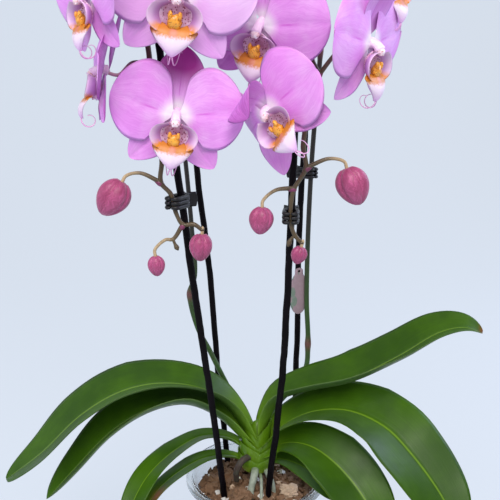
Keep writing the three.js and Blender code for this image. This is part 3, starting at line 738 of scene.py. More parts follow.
@dataclass(frozen=True)
class SideLobeFinish(Finish):
    """The lip's side lobes: lilac-white with faint stripes and an orange foot."""

    white: Colour = field(default_factory=lambda: shade("e2bfe2"))
    lilac: Colour = field(default_factory=lambda: shade("bd86c4"))
    orange: Colour = field(default_factory=lambda: shade("e08a1c"))
    wine: Colour = field(default_factory=lambda: shade("8e2c50"))

    def colour(self, board: Board) -> bpy.types.NodeSocket:
        """Lilac white, with wine stripes inside and orange at the foot."""
        spot = board.put("ShaderNodeUVMap", uv_map=UV_NAME).outputs[0]
        across, along, _ = board.put("ShaderNodeSeparateXYZ", {0: spot}).outputs
        colour = board.tinted(board.step(across, 0.35, 0.95), self.lilac, self.white)
        veins = board.group(Effects.veins(), {"Count": 16.0, "Waver": 0.1, "Sharpness": 3.0}).outputs[0]
        inside = board.sum("MULTIPLY", board.step(across, 0.45, 0.0), 0.8)
        colour = board.tinted(board.sum("MULTIPLY", veins, inside), colour, self.wine)
        patches = board.group(Effects.mottle(), {"Scale": 350.0, "Low": 0.2, "High": 0.6}).outputs[0]
        foot = board.sum("MULTIPLY", board.step(along, 0.34, 0.12), board.step(across, 0.2, 0.5))
        return board.tinted(board.sum("MULTIPLY", foot, patches), colour, self.orange)


@dataclass(frozen=True)
class MidLobeFinish(Finish):
    """The lip's middle lobe: an orange band at its base that fades to pinkish white."""

    orange: Colour = field(default_factory=lambda: shade("cc7a22"))
    pink: Colour = field(default_factory=lambda: shade("cf7a5e"))
    white: Colour = field(default_factory=lambda: shade("efd8ec"))
    tip: Colour = field(default_factory=lambda: shade("f3bdf2"))

    def colour(self, board: Board) -> bpy.types.NodeSocket:
        """The band, broken up by fine grain, then white, then pink at the tip."""
        spot = board.put("ShaderNodeUVMap", uv_map=UV_NAME).outputs[0]
        across, along, _ = board.put("ShaderNodeSeparateXYZ", {0: spot}).outputs
        ruffle = board.group(Effects.mottle(), {"Scale": 700.0, "Low": 0.2, "High": 0.8}).outputs[0]
        edge = board.sum("ADD", along, board.sum("MULTIPLY", ruffle, 0.12))
        off = board.sum("ABSOLUTE", board.sum("SUBTRACT", across, 0.5))
        band = board.tinted(board.step(off, 0.12, 0.03), self.orange, self.pink)
        rest = board.tinted(board.step(along, 0.55, 1.0), self.white, self.tip)
        return board.tinted(board.step(edge, 0.5, 0.3), rest, band)


@dataclass(frozen=True)
class SpottedFinish(Finish):
    """A surface with small spots, such as the throat and the callus."""

    ground: Colour = (1.0, 1.0, 1.0, 1.0)
    second: Colour = (1.0, 1.0, 1.0, 1.0)
    spot: Colour = (1.0, 1.0, 1.0, 1.0)
    scale: float = 900.0
    size: float = 0.3

    def colour(self, board: Board) -> bpy.types.NodeSocket:
        """Two tones in patches with spots over them."""
        patches = board.group(Effects.mottle(), {"Scale": 260.0, "Low": 0.35, "High": 0.65}).outputs[0]
        colour = board.tinted(patches, self.ground, self.second)
        spots = board.group(Effects.specks(), {"Scale": self.scale, "Size": self.size}).outputs[0]
        return board.tinted(spots, colour, self.spot)


@dataclass(frozen=True)
class LeafFinish(Finish):
    """A leaf's face: deep green with fine veins, a lighter midrib, and brown where it was hurt."""

    green: Colour = field(default_factory=lambda: shade("2d4f06"))
    second: Colour = field(default_factory=lambda: shade("406705"))
    vein: Colour = field(default_factory=lambda: shade("2a4a0a"))
    midrib: Colour = field(default_factory=lambda: shade("7ba024"))
    base: Colour = field(default_factory=lambda: shade("6f9a1c"))
    scar: Colour = field(default_factory=lambda: shade("7a4a26"))
    base_reach: float = 0.22

    def colour(self, board: Board) -> bpy.types.NodeSocket:
        """Green patches, veins, midrib, pale base and scars."""
        spot = board.put("ShaderNodeUVMap", uv_map=UV_NAME).outputs[0]
        across, along, _ = board.put("ShaderNodeSeparateXYZ", {0: spot}).outputs
        patches = board.group(Effects.mottle(), {"Scale": 16.0, "Low": 0.35, "High": 0.65}).outputs[0]
        colour = board.tinted(patches, self.green, self.second)
        veins = board.group(Effects.veins(), {"Count": 44.0, "Waver": 0.02, "Sharpness": 3.0}).outputs[0]
        colour = board.tinted(board.sum("MULTIPLY", veins, 0.35), colour, self.vein)
        colour = board.tinted(board.step(along, self.base_reach, 0.02), colour, self.base)
        off = board.sum("ABSOLUTE", board.sum("SUBTRACT", across, 0.5))
        colour = board.tinted(board.sum("MULTIPLY", board.step(off, 0.022, 0.004), 0.6), colour, self.midrib)
        margin = board.sum("MULTIPLY", board.step(off, 0.485, 0.5), 0.5)
        colour = board.tinted(margin, colour, self.midrib)
        hurt = board.put("ShaderNodeAttribute", attribute_name=DEEP_NAME).outputs["Fac"]
        return board.tinted(hurt, colour, self.scar)

    def height(self, board: Board) -> bpy.types.NodeSocket:
        """Lengthwise veins."""
        return board.group(Effects.veins(), {"Count": 44.0, "Waver": 0.02, "Sharpness": 1.0}).outputs[0]


@dataclass(frozen=True)
class TonedFinish(Finish):
    """A surface that takes its colour from its vertices, with darker streaks and patches."""

    dark: Colour = field(default_factory=lambda: shade("2b1d10"))
    strength: float = 0.45
    stretch: tuple[float, float, float] = (1.0, 1.0, 0.25)
    scale: float = 420.0

    def colour(self, board: Board) -> bpy.types.NodeSocket:
        """The vertices' tone, darkened in streaks."""
        tone = board.put("ShaderNodeAttribute", attribute_name=TONE_NAME).outputs["Color"]
        values = {"Scale": self.scale, "Low": 0.4, "High": 0.75, "Stretch": self.stretch}
        streaks = board.group(Effects.mottle(), values).outputs[0]
        return board.tinted(board.sum("MULTIPLY", streaks, self.strength), tone, self.dark)


@dataclass(frozen=True)
class BarkFinish(Finish):
    """Chips of bark: each chip has its own tone, with fibres, cracks and a pale bloom."""

    dark: Colour = field(default_factory=lambda: shade("2c170b"))
    light: Colour = field(default_factory=lambda: shade("8a5730"))
    bloom: Colour = field(default_factory=lambda: shade("b48a62"))

    def colour(self, board: Board) -> bpy.types.NodeSocket:
        """The chip's tone, fibres and bloom."""
        tone = board.put("ShaderNodeAttribute", attribute_name=CHIP_NAME).outputs["Fac"]
        values = {"Scale": 420.0, "Low": 0.3, "High": 0.7, "Stretch": (1.0, 0.35, 1.0)}
        fibres = board.group(Effects.mottle(), values).outputs[0]
        share = board.sum("MULTIPLY", board.sum("ADD", tone, fibres), 0.5)
        colour = board.tinted(share, self.dark, self.light)
        dusty = board.group(Effects.mottle(), {"Scale": 150.0, "Low": 0.58, "High": 0.75}).outputs[0]
        return board.tinted(board.sum("MULTIPLY", dusty, 0.35), colour, self.bloom)


@dataclass(frozen=True)
class CardFinish(Finish):
    """A printed card: dusty pink with plain grey-green leaf ovals."""

    ground: Colour = field(default_factory=lambda: shade("a98f97"))
    oval: Colour = field(default_factory=lambda: shade("7c8f80"))
    edge: Colour = field(default_factory=lambda: shade("c9b9bd"))

    def colour(self, board: Board) -> bpy.types.NodeSocket:
        """Ovals on the card's ground, a little faded."""
        spot = board.put("ShaderNodeTexCoord").outputs["Object"]
        settings = {"Vector": spot, "Scale": (150.0, 150.0, 80.0), "Rotation": (0.0, 0.35, 0.0)}
        moved = board.put("ShaderNodeMapping", settings).outputs[0]
        cells = board.put("ShaderNodeTexVoronoi", {"Vector": moved, "Scale": 1.0, "Randomness": 0.55})
        ovals = board.step(cells.outputs["Distance"], 0.42, 0.38)
        colour = board.tinted(ovals, self.ground, self.oval)
        faded = board.group(Effects.mottle(), {"Scale": 300.0, "Low": 0.4, "High": 0.7}).outputs[0]
        return board.tinted(board.sum("MULTIPLY", faded, 0.15), colour, self.edge)


@dataclass(frozen=True)
class ClearFinish(Finish):
    """Clear plastic with a grey cast."""

    tint: Colour = field(default_factory=lambda: shade("e6eaec"))
    transmission: float = 0.93

    def colour(self, board: Board) -> bpy.types.NodeSocket:
        """A pale cast with faint scuffs."""
        scuffs = board.group(Effects.mottle(), {"Scale": 240.0, "Low": 0.55, "High": 0.8}).outputs[0]
        return board.tinted(board.sum("MULTIPLY", scuffs, 0.3), self.tint, shade("c9cfd2"))

    def adjust(self, board: Board, shader: bpy.types.Node) -> None:
        """Lets light through."""
        shader.inputs["Transmission Weight"].default_value = self.transmission
        shader.inputs["IOR"].default_value = 1.3


LILAC_SHEEN = shade("c9b8ff")

PETAL = PetalFinish(
    "petal_face", 0.55, sheen=0.25, sheen_tint=LILAC_SHEEN, grain_scale=2600, grain_depth=0.25,
)
# The back is a darker magenta than the face: painted shade.
PETAL_BACK = VeinedFinish(
    "petal_back", 0.6, sheen=0.25, sheen_tint=LILAC_SHEEN,
    first=shade("d77cd6"), second=shade("c463c2"), vein=shade("98338e"), count=26, strength=0.5,
)
COLUMN = VeinedFinish(
    "flower_column", 0.45, coat=0.15,
    first=shade("fff0fd"), second=shade("fbd9f6"), vein=shade("eeb0e6"), count=10, strength=0.4,
)
ANTHER = SpottedFinish(
    "anther_cap", 0.4, coat=0.2,
    ground=shade("fdeefa"), second=shade("f3c7cf"), spot=shade("b5563c"), scale=700, size=0.2,
)
SIDE_LOBE = SideLobeFinish("lip_side_lobe", 0.45, coat=0.1, grain_scale=1500, grain_depth=0.15)
MID_LOBE = MidLobeFinish("lip_middle_lobe", 0.45, coat=0.1, grain_scale=1500, grain_depth=0.15)
THROAT = SpottedFinish(
    "lip_throat", 0.5, ground=shade("cf94b8"), second=shade("e6bfdd"), spot=shade("8a2f56"),
    scale=620, size=0.24,
)
CALLUS = SpottedFinish(
    "lip_callus", 0.4, coat=0.3,
    ground=shade("e08a1a"), second=shade("f0ac3a"), spot=shade("7e1c14"), scale=900, size=0.2,
)
TENDRIL = VeinedFinish(
    "lip_tendril", 0.4, first=shade("e2a0d6"), second=shade("f0c4e6"), vein=shade("c577b4"), count=4,
)
BUD = VeinedFinish(
    "bud_skin", 0.5, coat=0.1, sheen=0.15, grain_scale=1700, grain_depth=0.3,
    first=shade("c2568a"), second=shade("aa4473"), vein=shade("741540"), count=40, strength=0.6,
)
LEAF = LeafFinish("leaf_face", 0.38, specular=0.26, grain_depth=0.12, grain_reach=0.0004)
LEAF_UNDER = LeafFinish(
    "leaf_under", 0.5, green=shade("3c5c22"), second=shade("4a6a2c"), vein=shade("2f4a1c"),
    midrib=shade("7f9a48"),
    grain_depth=0.12, grain_reach=0.0004,
)
SHEATH = LeafFinish(
    "crown_sheath", 0.4, coat=0.15, green=shade("55800e"), second=shade("6c9414"), vein=shade("3f660c"),
    midrib=shade("8fae2a"), base=shade("8fae2e"), base_reach=0.6, grain_depth=0.12, grain_reach=0.0004,
)
STEM = TonedFinish("spike_skin", 0.45, coat=0.1, grain_scale=1400, grain_depth=0.25)
ROOT = TonedFinish(
    "root_skin", 0.7, dark=shade("4c5a48"), strength=0.5, scale=260, stretch=(1.0, 1.0, 0.6), grain_scale=700,
    grain_depth=0.5,
)
WIRE = TonedFinish(
    "coated_wire", 0.55, specular=0.08, dark=shade("060406"), strength=0.6, scale=520,
    stretch=(1.0, 1.0, 0.12),
    grain_scale=700, grain_depth=0.6, grain_reach=0.0012,
)
BARK = BarkFinish("bark", 0.92, grain_scale=900, grain_depth=0.9, grain_reach=0.0015)
PALE_BARK = BarkFinish(
    "pale_bark", 0.85, dark=shade("7a543a"), light=shade("cfa78a"), bloom=shade("e6c8b4"), grain_scale=900,
    grain_depth=0.8, grain_reach=0.0012,
)
PERLITE = BarkFinish(
    "perlite", 0.85, dark=shade("b9b6ae"), light=shade("f2efe8"), bloom=shade("ffffff"), grain_scale=1500,
    grain_depth=0.8, grain_reach=0.0008,
)
CLIP = TonedFinish(
    "clip_plastic", 0.38, specular=0.35, dark=shade("050505"), strength=0.5, scale=900,
    stretch=(1.0, 1.0, 1.0),
    grain_scale=2200, grain_depth=0.3,
)
SPRING = VeinedFinish(
    "spring_steel", 0.3, first=shade("8a8c90"), second=shade("b4b6ba"), vein=shade("55575b"),
)
CARD = CardFinish("tag_card", 0.7, grain_scale=3000, grain_depth=0.15)
CLEAR = ClearFinish("clear_plastic", 0.08, grain_scale=90, grain_depth=0.08)


# ---- Geometry Nodes ----


def geometry_tree(name: str, inputs: dict[str, tuple[str, object]]) -> Board:
    """Starts a Geometry Nodes tree with a geometry in and out and named inputs.

    Args:
        name: Its name.
        inputs: The kind and the value at rest of each input.

    Returns:
        A board on the tree, which holds its Group Input node as the first node.
    """
    whole = {"Geometry": ("NodeSocketGeometry", None), **inputs}
    return new_group(name, whole, {"Geometry": "NodeSocketGeometry"}, "GeometryNodeTree")


def run_tree(
    source: bpy.types.Object, tree: bpy.types.NodeTree, values: dict[str, object], name: str
) -> bpy.types.Object:
    """Runs a tree on an object and keeps the result as a plain mesh.

    Args:
        source: The object that the tree starts from, which is removed.
        tree: The tree.
        values: The values of its inputs by name.
        name: The name of the new piece.

    Returns:
        The new piece.
    """
    modifier = source.modifiers.new("work", "NODES")
    modifier.node_group = tree
    known = {item.name: item.identifier for item in tree.interface.items_tree if item.in_out == "INPUT"}
    for key, value in values.items():
        modifier[known[key]] = value
    bpy.context.view_layer.update()
    whole = source.evaluated_get(bpy.context.evaluated_depsgraph_get())
    mesh = bpy.data.meshes.new_from_object(whole)
    source.modifiers.remove(modifier)
    bpy.data.objects.remove(source)
    mesh.name = name
    point_outwards(mesh)
    piece = bpy.data.objects.new(name, mesh)
    bpy.context.scene.collection.objects.link(piece)
    return piece


class StrandTree:
    """Sweeps a round section along strands whose points carry their own radius."""

    _tree: bpy.types.NodeTree | None = None

    @classmethod
    def tree(cls) -> bpy.types.NodeTree:
        """The tree, built the first time."""
        if cls._tree is None:
            inputs = {"Sides": ("NodeSocketInt", 16), "Finish": ("NodeSocketMaterial", None)}
            board = geometry_tree("Swept strands", inputs)
            given = board.tree.nodes[0].outputs
            line = board.put("GeometryNodeMeshToCurve", {"Mesh": given["Geometry"]}).outputs[0]
            radius = board.put("GeometryNodeInputNamedAttribute", {"Name": RADIUS_NAME}, data_type="FLOAT")
            circle = {"Resolution": given["Sides"], "Radius": 1.0}
            section = board.put("GeometryNodeCurvePrimitiveCircle", circle)
            swept = {"Curve": line, "Profile Curve": section.outputs[0]}
            swept.update({"Scale": radius.outputs[0], "Fill Caps": True})
            skin = board.put("GeometryNodeCurveToMesh", swept).outputs[0]
            skin = board.put("GeometryNodeSetShadeSmooth", {0: skin}).outputs[0]
            skin = board.put("GeometryNodeRealizeInstances", {0: skin}).outputs[0]
            done = board.put("GeometryNodeSetMaterial", {"Geometry": skin, "Material": given["Finish"]})
            board.put("NodeGroupOutput", {"Geometry": done.outputs[0]})
            cls._tree = board.tree
        return cls._tree


@dataclass
class Strand:
    """One swept strand: its path, its radius and its tone at each point."""

    path: list[Vector]
    radii: list[float]
    tones: list[Colour]


def sweep(name: str, strands: Sequence[Strand], sides: int, finish: Finish) -> bpy.types.Object:
    """Makes one piece of swept strands.

    Args:
        name: The piece's name.
        strands: Its strands, in millimetres.
        sides: How many sides the section has.
        finish: Its finish.

    Returns:
        The piece.
    """
    mesh = bpy.data.meshes.new(name + "_lines")
    points = [p * MM for strand in strands for p in strand.path]
    edges = []
    start = 0
    for strand in strands:
        edges.extend((start + k, start + k + 1) for k in range(len(strand.path) - 1))
        start += len(strand.path)
    mesh.from_pydata(points, edges, [])
    radius = mesh.attributes.new(RADIUS_NAME, "FLOAT", "POINT")
    radius.data.foreach_set("value", [r * MM for strand in strands for r in strand.radii])
    tone = mesh.attributes.new(TONE_NAME, "FLOAT_COLOR", "POINT")
    tone.data.foreach_set("color", [c for strand in strands for t in strand.tones for c in t])
    source = bpy.data.objects.new(name + "_lines", mesh)
    bpy.context.scene.collection.objects.link(source)
    return run_tree(source, StrandTree.tree(), {"Sides": sides, "Finish": finish.material()}, name)


def rounded(path: list[Vector], radii: list[float], tones: list[Colour]) -> Strand:
    """A strand whose two ends are closed by small domes."""
    ways = directions(path)
    before = [(0.35, 0.9), (0.8, 0.6), (1.0, 0.15)]
    start, end = radii[0], radii[-1]
    head = [path[0] - ways[0] * start * step * 0.8 for step, _ in reversed(before)]
    tail = [path[-1] + ways[-1] * end * step * 0.8 for step, _ in before]
    head_radii = [start * size for _, size in reversed(before)]
    tail_radii = [end * size for _, size in before]
    extra = len(before)
    all_tones = [tones[0]] * extra + list(tones) + [tones[-1]] * extra
    return Strand(head + list(path) + tail, head_radii + list(radii) + tail_radii, all_tones)


class ChipTree:
    """Scatters angular chips over a surface, each with its own size, turn, shape and tone."""

    _tree: bpy.types.NodeTree | None = None

    @classmethod
    def tree(cls) -> bpy.types.NodeTree:
        """The tree, built the first time."""
        if cls._tree is None:
            inputs = {
                "Spacing": ("NodeSocketFloat", 0.009),
                "Seed": ("NodeSocketInt", 1),
                "Smallest": ("NodeSocketVector", (0.007, 0.005, 0.003)),
                "Largest": ("NodeSocketVector", (0.014, 0.01, 0.006)),
                "Tilt": ("NodeSocketFloat", 0.5),
                "Roughness": ("NodeSocketFloat", 0.0022),
                "Share": ("NodeSocketFloat", 1.0),
                "Finish": ("NodeSocketMaterial", None),
            }
            board = geometry_tree("Scattered chips", inputs)
            given = board.tree.nodes[0].outputs
            where = {"Mesh": given["Geometry"], "Distance Min": given["Spacing"], "Seed": given["Seed"]}
            where["Density Max"] = 60000.0
            spots = board.put("GeometryNodeDistributePointsOnFaces", where, distribute_method="POISSON")
            tilt = given["Tilt"]
            back = board.sum("MULTIPLY", tilt, -1.0)
            low = board.put("ShaderNodeCombineXYZ", {0: back, 1: back, 2: 0.0}).outputs[0]
            high = board.put("ShaderNodeCombineXYZ", {0: tilt, 1: tilt, 2: 2 * math.pi}).outputs[0]
            turn = cls._random(board, "FLOAT_VECTOR", low, high, given["Seed"])
            size = cls._random(board, "FLOAT_VECTOR", given["Smallest"], given["Largest"], given["Seed"])
            lot = cls._random(board, "FLOAT", 0.0, 1.0, given["Seed"])
            share = {0: lot, 1: given["Share"]}
            kept = board.put("FunctionNodeCompare", share, operation="LESS_THAN").outputs[0]
            block = board.put("GeometryNodeMeshCube", {"Vertices X": 4, "Vertices Y": 3, "Vertices Z": 3})
            placed = {"Points": spots.outputs["Points"], "Instance": block.outputs["Mesh"], "Selection": kept}
            placed["Rotation"] = spots.outputs["Rotation"]
            chips = board.put("GeometryNodeInstanceOnPoints", {**placed, "Scale": size}).outputs[0]
            turned = {"Instances": chips, "Rotation": turn}
            chips = board.put("GeometryNodeRotateInstances", turned).outputs[0]
            tone = cls._random(board, "FLOAT", 0.0, 1.0, given["Seed"])
            kept_tone = {"Geometry": chips, "Name": CHIP_NAME, "Value": tone}
            store = board.put(
                "GeometryNodeStoreNamedAttribute", kept_tone, data_type="FLOAT", domain="INSTANCE"
            )
            skin = board.put("GeometryNodeRealizeInstances", {0: store.outputs[0]}).outputs[0]
            here = board.put("GeometryNodeInputPosition").outputs[0]
            jag = board.put("ShaderNodeTexNoise", {"Vector": here, "Scale": 210.0, "Detail": 2.0}).outputs[1]
            half = {0: jag, 1: (0.5, 0.5, 0.5)}
            centred = board.put("ShaderNodeVectorMath", half, operation="SUBTRACT").outputs[0]
            pushed = {0: centred, "Scale": board.sum("MULTIPLY", given["Roughness"], 4.0)}
            push = board.put("ShaderNodeVectorMath", pushed, operation="SCALE").outputs[0]
            skin = board.put("GeometryNodeSetPosition", {"Geometry": skin, "Offset": push}).outputs[0]
            done = board.put("GeometryNodeSetMaterial", {"Geometry": skin, "Material": given["Finish"]})
            board.put("NodeGroupOutput", {"Geometry": done.outputs[0]})
            cls._tree = board.tree
        return cls._tree

    @staticmethod
    def _random(
        board: Board, kind: str, low: object, high: object, seed: bpy.types.NodeSocket
    ) -> bpy.types.NodeSocket:
        """A random value for each point or instance."""
        node = board.put("FunctionNodeRandomValue", data_type=kind)
        ports = (0, 1, 0) if kind == "FLOAT_VECTOR" else (2, 3, 1)
        board.fill(node, {ports[0]: low, ports[1]: high, "Seed": seed})
        return node.outputs[ports[2]]


# ---- The plant's own places ----

RIM_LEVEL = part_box("pot")[1].z / MM
BARK_LEVEL = RIM_LEVEL - BARK_BELOW_RIM
HOOP_HEIGHT = 512.0


def spot(x: float, y: float, z: float) -> Vector:
    """A point counted from the middle of the bark's surface."""
    return Vector((x, y, z + BARK_LEVEL))


def spots(rows: Sequence[tuple[float, float, float]]) -> list[Vector]:
    """Points counted from the middle of the bark's surface."""
    return [spot(*row) for row in rows]


def high_spots(rows: Sequence[tuple[float, float, float]]) -> list[Vector]:
    """Points whose height is a share of the hoops' height."""
    return [spot(x, y, share * HOOP_HEIGHT) for x, y, share in rows]


def middle_of(node: str) -> Vector:
    """The middle of a node's skin in the frame, in millimetres."""
    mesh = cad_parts[node].data
    total, area = Vector((0, 0, 0)), 0.0
    for face in mesh.polygons:
        total += face.center * face.area
        area += face.area
    return total / area / MM


def at_height(path: Sequence[Vector], height: float, front: bool) -> Vector:
    """The point of a path nearest to a height, on its front or its back stretch."""
    wanted = [p for p in path if (p.y < 0) == front]
    return min(wanted, key=lambda p: abs(p.z - height - BARK_LEVEL))


# ---- Pot and bark ----


@dataclass
class NurseryPot:
    """The clear pot: a tapered wall with a flanged rim, a rounded foot and slots in its floor."""

    base_radius: float = 43.0
    top_radius: float = 57.0
    wall: float = 1.5
    floor: float = 2.0
    foot: float = 4.0
    rim_width: float = 5.5
    rim_depth: float = 5.0
    slots: int = 8
    sides: int = 112

    def wall_radius(self, height: float) -> float:
        """The outer radius of the wall at a height."""
        return mix(self.base_radius, self.top_radius, (height - self.foot) / (RIM_LEVEL - self.foot))

    def outline(self) -> list[tuple[float, float]]:
        """The section from the middle of the underside round to the middle of the floor."""
        low = RIM_LEVEL - self.rim_depth
        edge = self.top_radius + self.rim_width
        under = self.wall_radius(low)
        outside = [
            (0.5, 0.6), (self.base_radius - 12, 0.6), (self.base_radius - 8, 0), (self.base_radius - 4, 0),
            (self.base_radius - 1.6, 1), (self.base_radius - 0.4, 2.4), (self.base_radius, self.foot + 0.2),
        ]
        ribs = []
        for k in range(1, 12):
            height = mix(self.foot, low - 6, k / 12)
            ribs.append((self.wall_radius(height), height))
        rim = [
            (under - 0.5, low - 5), (under + 0.5, low - 4), (under + 0.6, low + 0.8),
            (under + 1.4, low + 1.6),
            (edge - self.wall - 0.6, low + 1.7), (edge - self.wall, low + 1.2), (edge - self.wall, low + 0.2),
            (edge - 0.4, low), (edge, low + 0.5), (edge, RIM_LEVEL - 1.4), (edge - 0.5, RIM_LEVEL - 0.4),
            (edge - 1.5, RIM_LEVEL), (edge - 4, RIM_LEVEL - 0.25), (self.top_radius - 0.2, RIM_LEVEL - 0.1),
            (self.top_radius - 1.1, RIM_LEVEL - 0.7), (self.top_radius - 1.5, RIM_LEVEL - 2),
        ]
        inside = [(self.wall_radius(h) - self.wall, h) for h in (low - 4, 60, 30, 12)]
        bottom = [
            (self.base_radius - self.wall, self.foot + 0.4),
            (self.base_radius - self.wall - 1, self.floor + 0.9),
            (self.base_radius - self.wall - 3, self.floor + 0.3), (self.base_radius - 12, self.floor),
            (0.5, self.floor),
        ]
        return outside + ribs + rim + inside + bottom

    def slot_cutters(self) -> bpy.types.Object:
        """The long rounded slots of the floor, as one mesh."""
        cutters = Shape()
        for k in range(self.slots):
            turn = 2 * math.pi * (k + 0.5) / self.slots
            way = Vector((math.cos(turn), math.sin(turn), 0))
            across = Vector((-way.y, way.x, 0))
            ring = []
            for side in range(16):
                a = 2 * math.pi * side / 16
                long = 6.0 if math.cos(a) > 0 else -6.0
                out = self.base_radius - 14 + 0.3 * long + 1.75 * math.cos(a)
                ring.append(way * out + across * 1.75 * math.sin(a))
            rings = [[p + Vector((0, 0, z)) for p in ring] for z in (-2.0, 5.0)]
            middle = way * (self.base_radius - 14)
            cutters.rings(rings, middle - Vector((0, 0, 2)), middle + Vector((0, 0, 5)))
        return cutters.build("slot_cutters", [])

    def build(self) -> None:
        """Turns the shell, cuts the slots and dresses it."""
        shell = Shape()
        shell.lathe(self.outline(), self.sides, Matrix.Identity(4))
        pot = shell.build("nursery_pot", [CLEAR.material()])
        cut(pot, self.slot_cutters())
        settle(pot, "clear_pot", "pot")


@dataclass
class BarkBed:
    """The bark: a dark filling, chips against the wall and on top, flakes, grains and big pieces."""

    pot: NurseryPot
    chip_room: float = 4.7
    top_drop: float = 5.5

    def skin(self, inset: float, drop: float, floor: float) -> Shape:
        """A closed form of the bed's shape, pulled in by a distance."""
        top = self.pot.wall_radius(BARK_LEVEL) - self.pot.wall - inset
        low = self.pot.base_radius - self.pot.wall - inset
        outline = [(0.5, floor), (low - 2, floor), (low, floor + 2)]
        outline += [(mix(low, top, k / 8), mix(floor + 2, BARK_LEVEL - drop - 2, k / 8)) for k in range(1, 9)]
        level = BARK_LEVEL - drop
        outline += [(top - 2, level), (0.6 * top, level + 1.2), (0.5, level + 1.6)]
        form = Shape()
        form.lathe(outline, 64, Matrix.Identity(4))
        return form

    def cover(
        self, name: str, finish: Finish, values: dict[str, object], inset: float, drop: float
    ) -> bpy.types.Object:
        """Chips over the bed's form."""
        source = self.skin(inset, drop, self.pot.floor + 9).build(name + "_form", [])
        return run_tree(source, ChipTree.tree(), {**values, "Finish": finish.material()}, name)

    def filling(self) -> None:
        """The dark mass behind the chips."""
        form = self.skin(self.chip_room + 1.5, self.top_drop + 1.5, self.pot.floor + 2)
        mass = form.build("bark_filling", [BARK.material()])
        settle(mass, "bark", "bark_bed")

    def chips(self) -> None:
        """Brown chips, a second lot of smaller ones between them, pale flakes and white grains."""
        lots = [
            ("bark_chips", BARK, "bark", 0.0085, 4,
             (0.009, 0.006, 0.0035), (0.017, 0.011, 0.0065), 0.45, 1.0),
            ("bark_crumbs", BARK, "bark", 0.005, 9, (0.003, 0.003, 0.002), (0.008, 0.006, 0.004), 0.9, 0.8),
            ("bark_flakes", PALE_BARK, "pale_bark", 0.012, 21,
             (0.006, 0.004, 0.001), (0.015, 0.008, 0.0025), 0.5, 0.35),
            ("perlite_grains", PERLITE, "perlite", 0.012, 34,
             (0.003, 0.003, 0.003), (0.006, 0.005, 0.005), 0.9, 0.28),
        ]
        for name, finish, slot, spacing, seed, low, high, tilt, share in lots:
            inset = self.chip_room if name == "bark_chips" else self.chip_room - 0.8
            drop = self.top_drop if name == "bark_chips" else self.top_drop - 3.0
            values = {
                "Spacing": spacing, "Seed": seed, "Smallest": low, "Largest": high, "Tilt": tilt,
                "Share": share,
                "Roughness": 0.0012 if name == "perlite_grains" else 0.002,
            }
            settle(self.cover(name, finish, values, inset, drop), slot)

    def big_pieces(self) -> None:
        """The loose pieces that lie on top, where the frame has them."""
        rows = [
            ("husk_chunk", "bark_chunk_brown", BARK, "bark", 0.35, 0.3),
            ("pale_chunk", "bark_chunk_pale", PALE_BARK, "pale_bark", 0.3, 0.55),
            ("front_flake", "bark_chunk_front", PALE_BARK, "pale_bark", 0.3, 0.8),
            ("perlite_grain", "perlite", PERLITE, "perlite", 0.25, 0.8),
        ]
        for name, node, finish, slot, rough, tone in rows:
            low, high = (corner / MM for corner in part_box(node))
            form = Shape()
            self.rock(form, (low + high) / 2, (high - low) / 2, rough)
            piece = form.build(name, [finish.material()], smooth=False)
            store = piece.data.attributes.new(CHIP_NAME, "FLOAT", "POINT")
            store.data.foreach_set("value", [tone] * len(piece.data.vertices))
            settle(piece, slot, node)

    def rock(self, form: Shape, middle: Vector, size: Vector, rough: float) -> None:
        """A broken, blocky lump with split layers."""
        rings = []
        levels, sides = 16, 26
        for level in range(1, levels):
            tilt = math.pi * level / levels
            ring = []
            for k in range(sides):
                turn = 2 * math.pi * k / sides
                way = way_at(tilt, turn)
                square = max(abs(way.x), abs(way.y), abs(way.z)) ** -0.65
                worn = 0.82 + rough * noise.noise(way * 2.2 + middle) + 0.16 * noise.noise(way * 7 + middle)
                layers = 0.03 * math.sin(way.z * 14 + 3 * way.x)
                reach = min(1.12, square * (worn + layers))
                ring.append(middle + Vector((way.x * size.x, way.y * size.y, way.z * size.z)) * reach)
            rings.append(ring)
        form.rings(rings, middle - Vector((0, 0, 0.8 * size.z)), middle + Vector((0, 0, 0.85 * size.z)))

    def build(self) -> None:
        """Makes all of it."""
        self.filling()
        self.chips()
        self.big_pieces()


# ---- Crown, roots and leaves ----


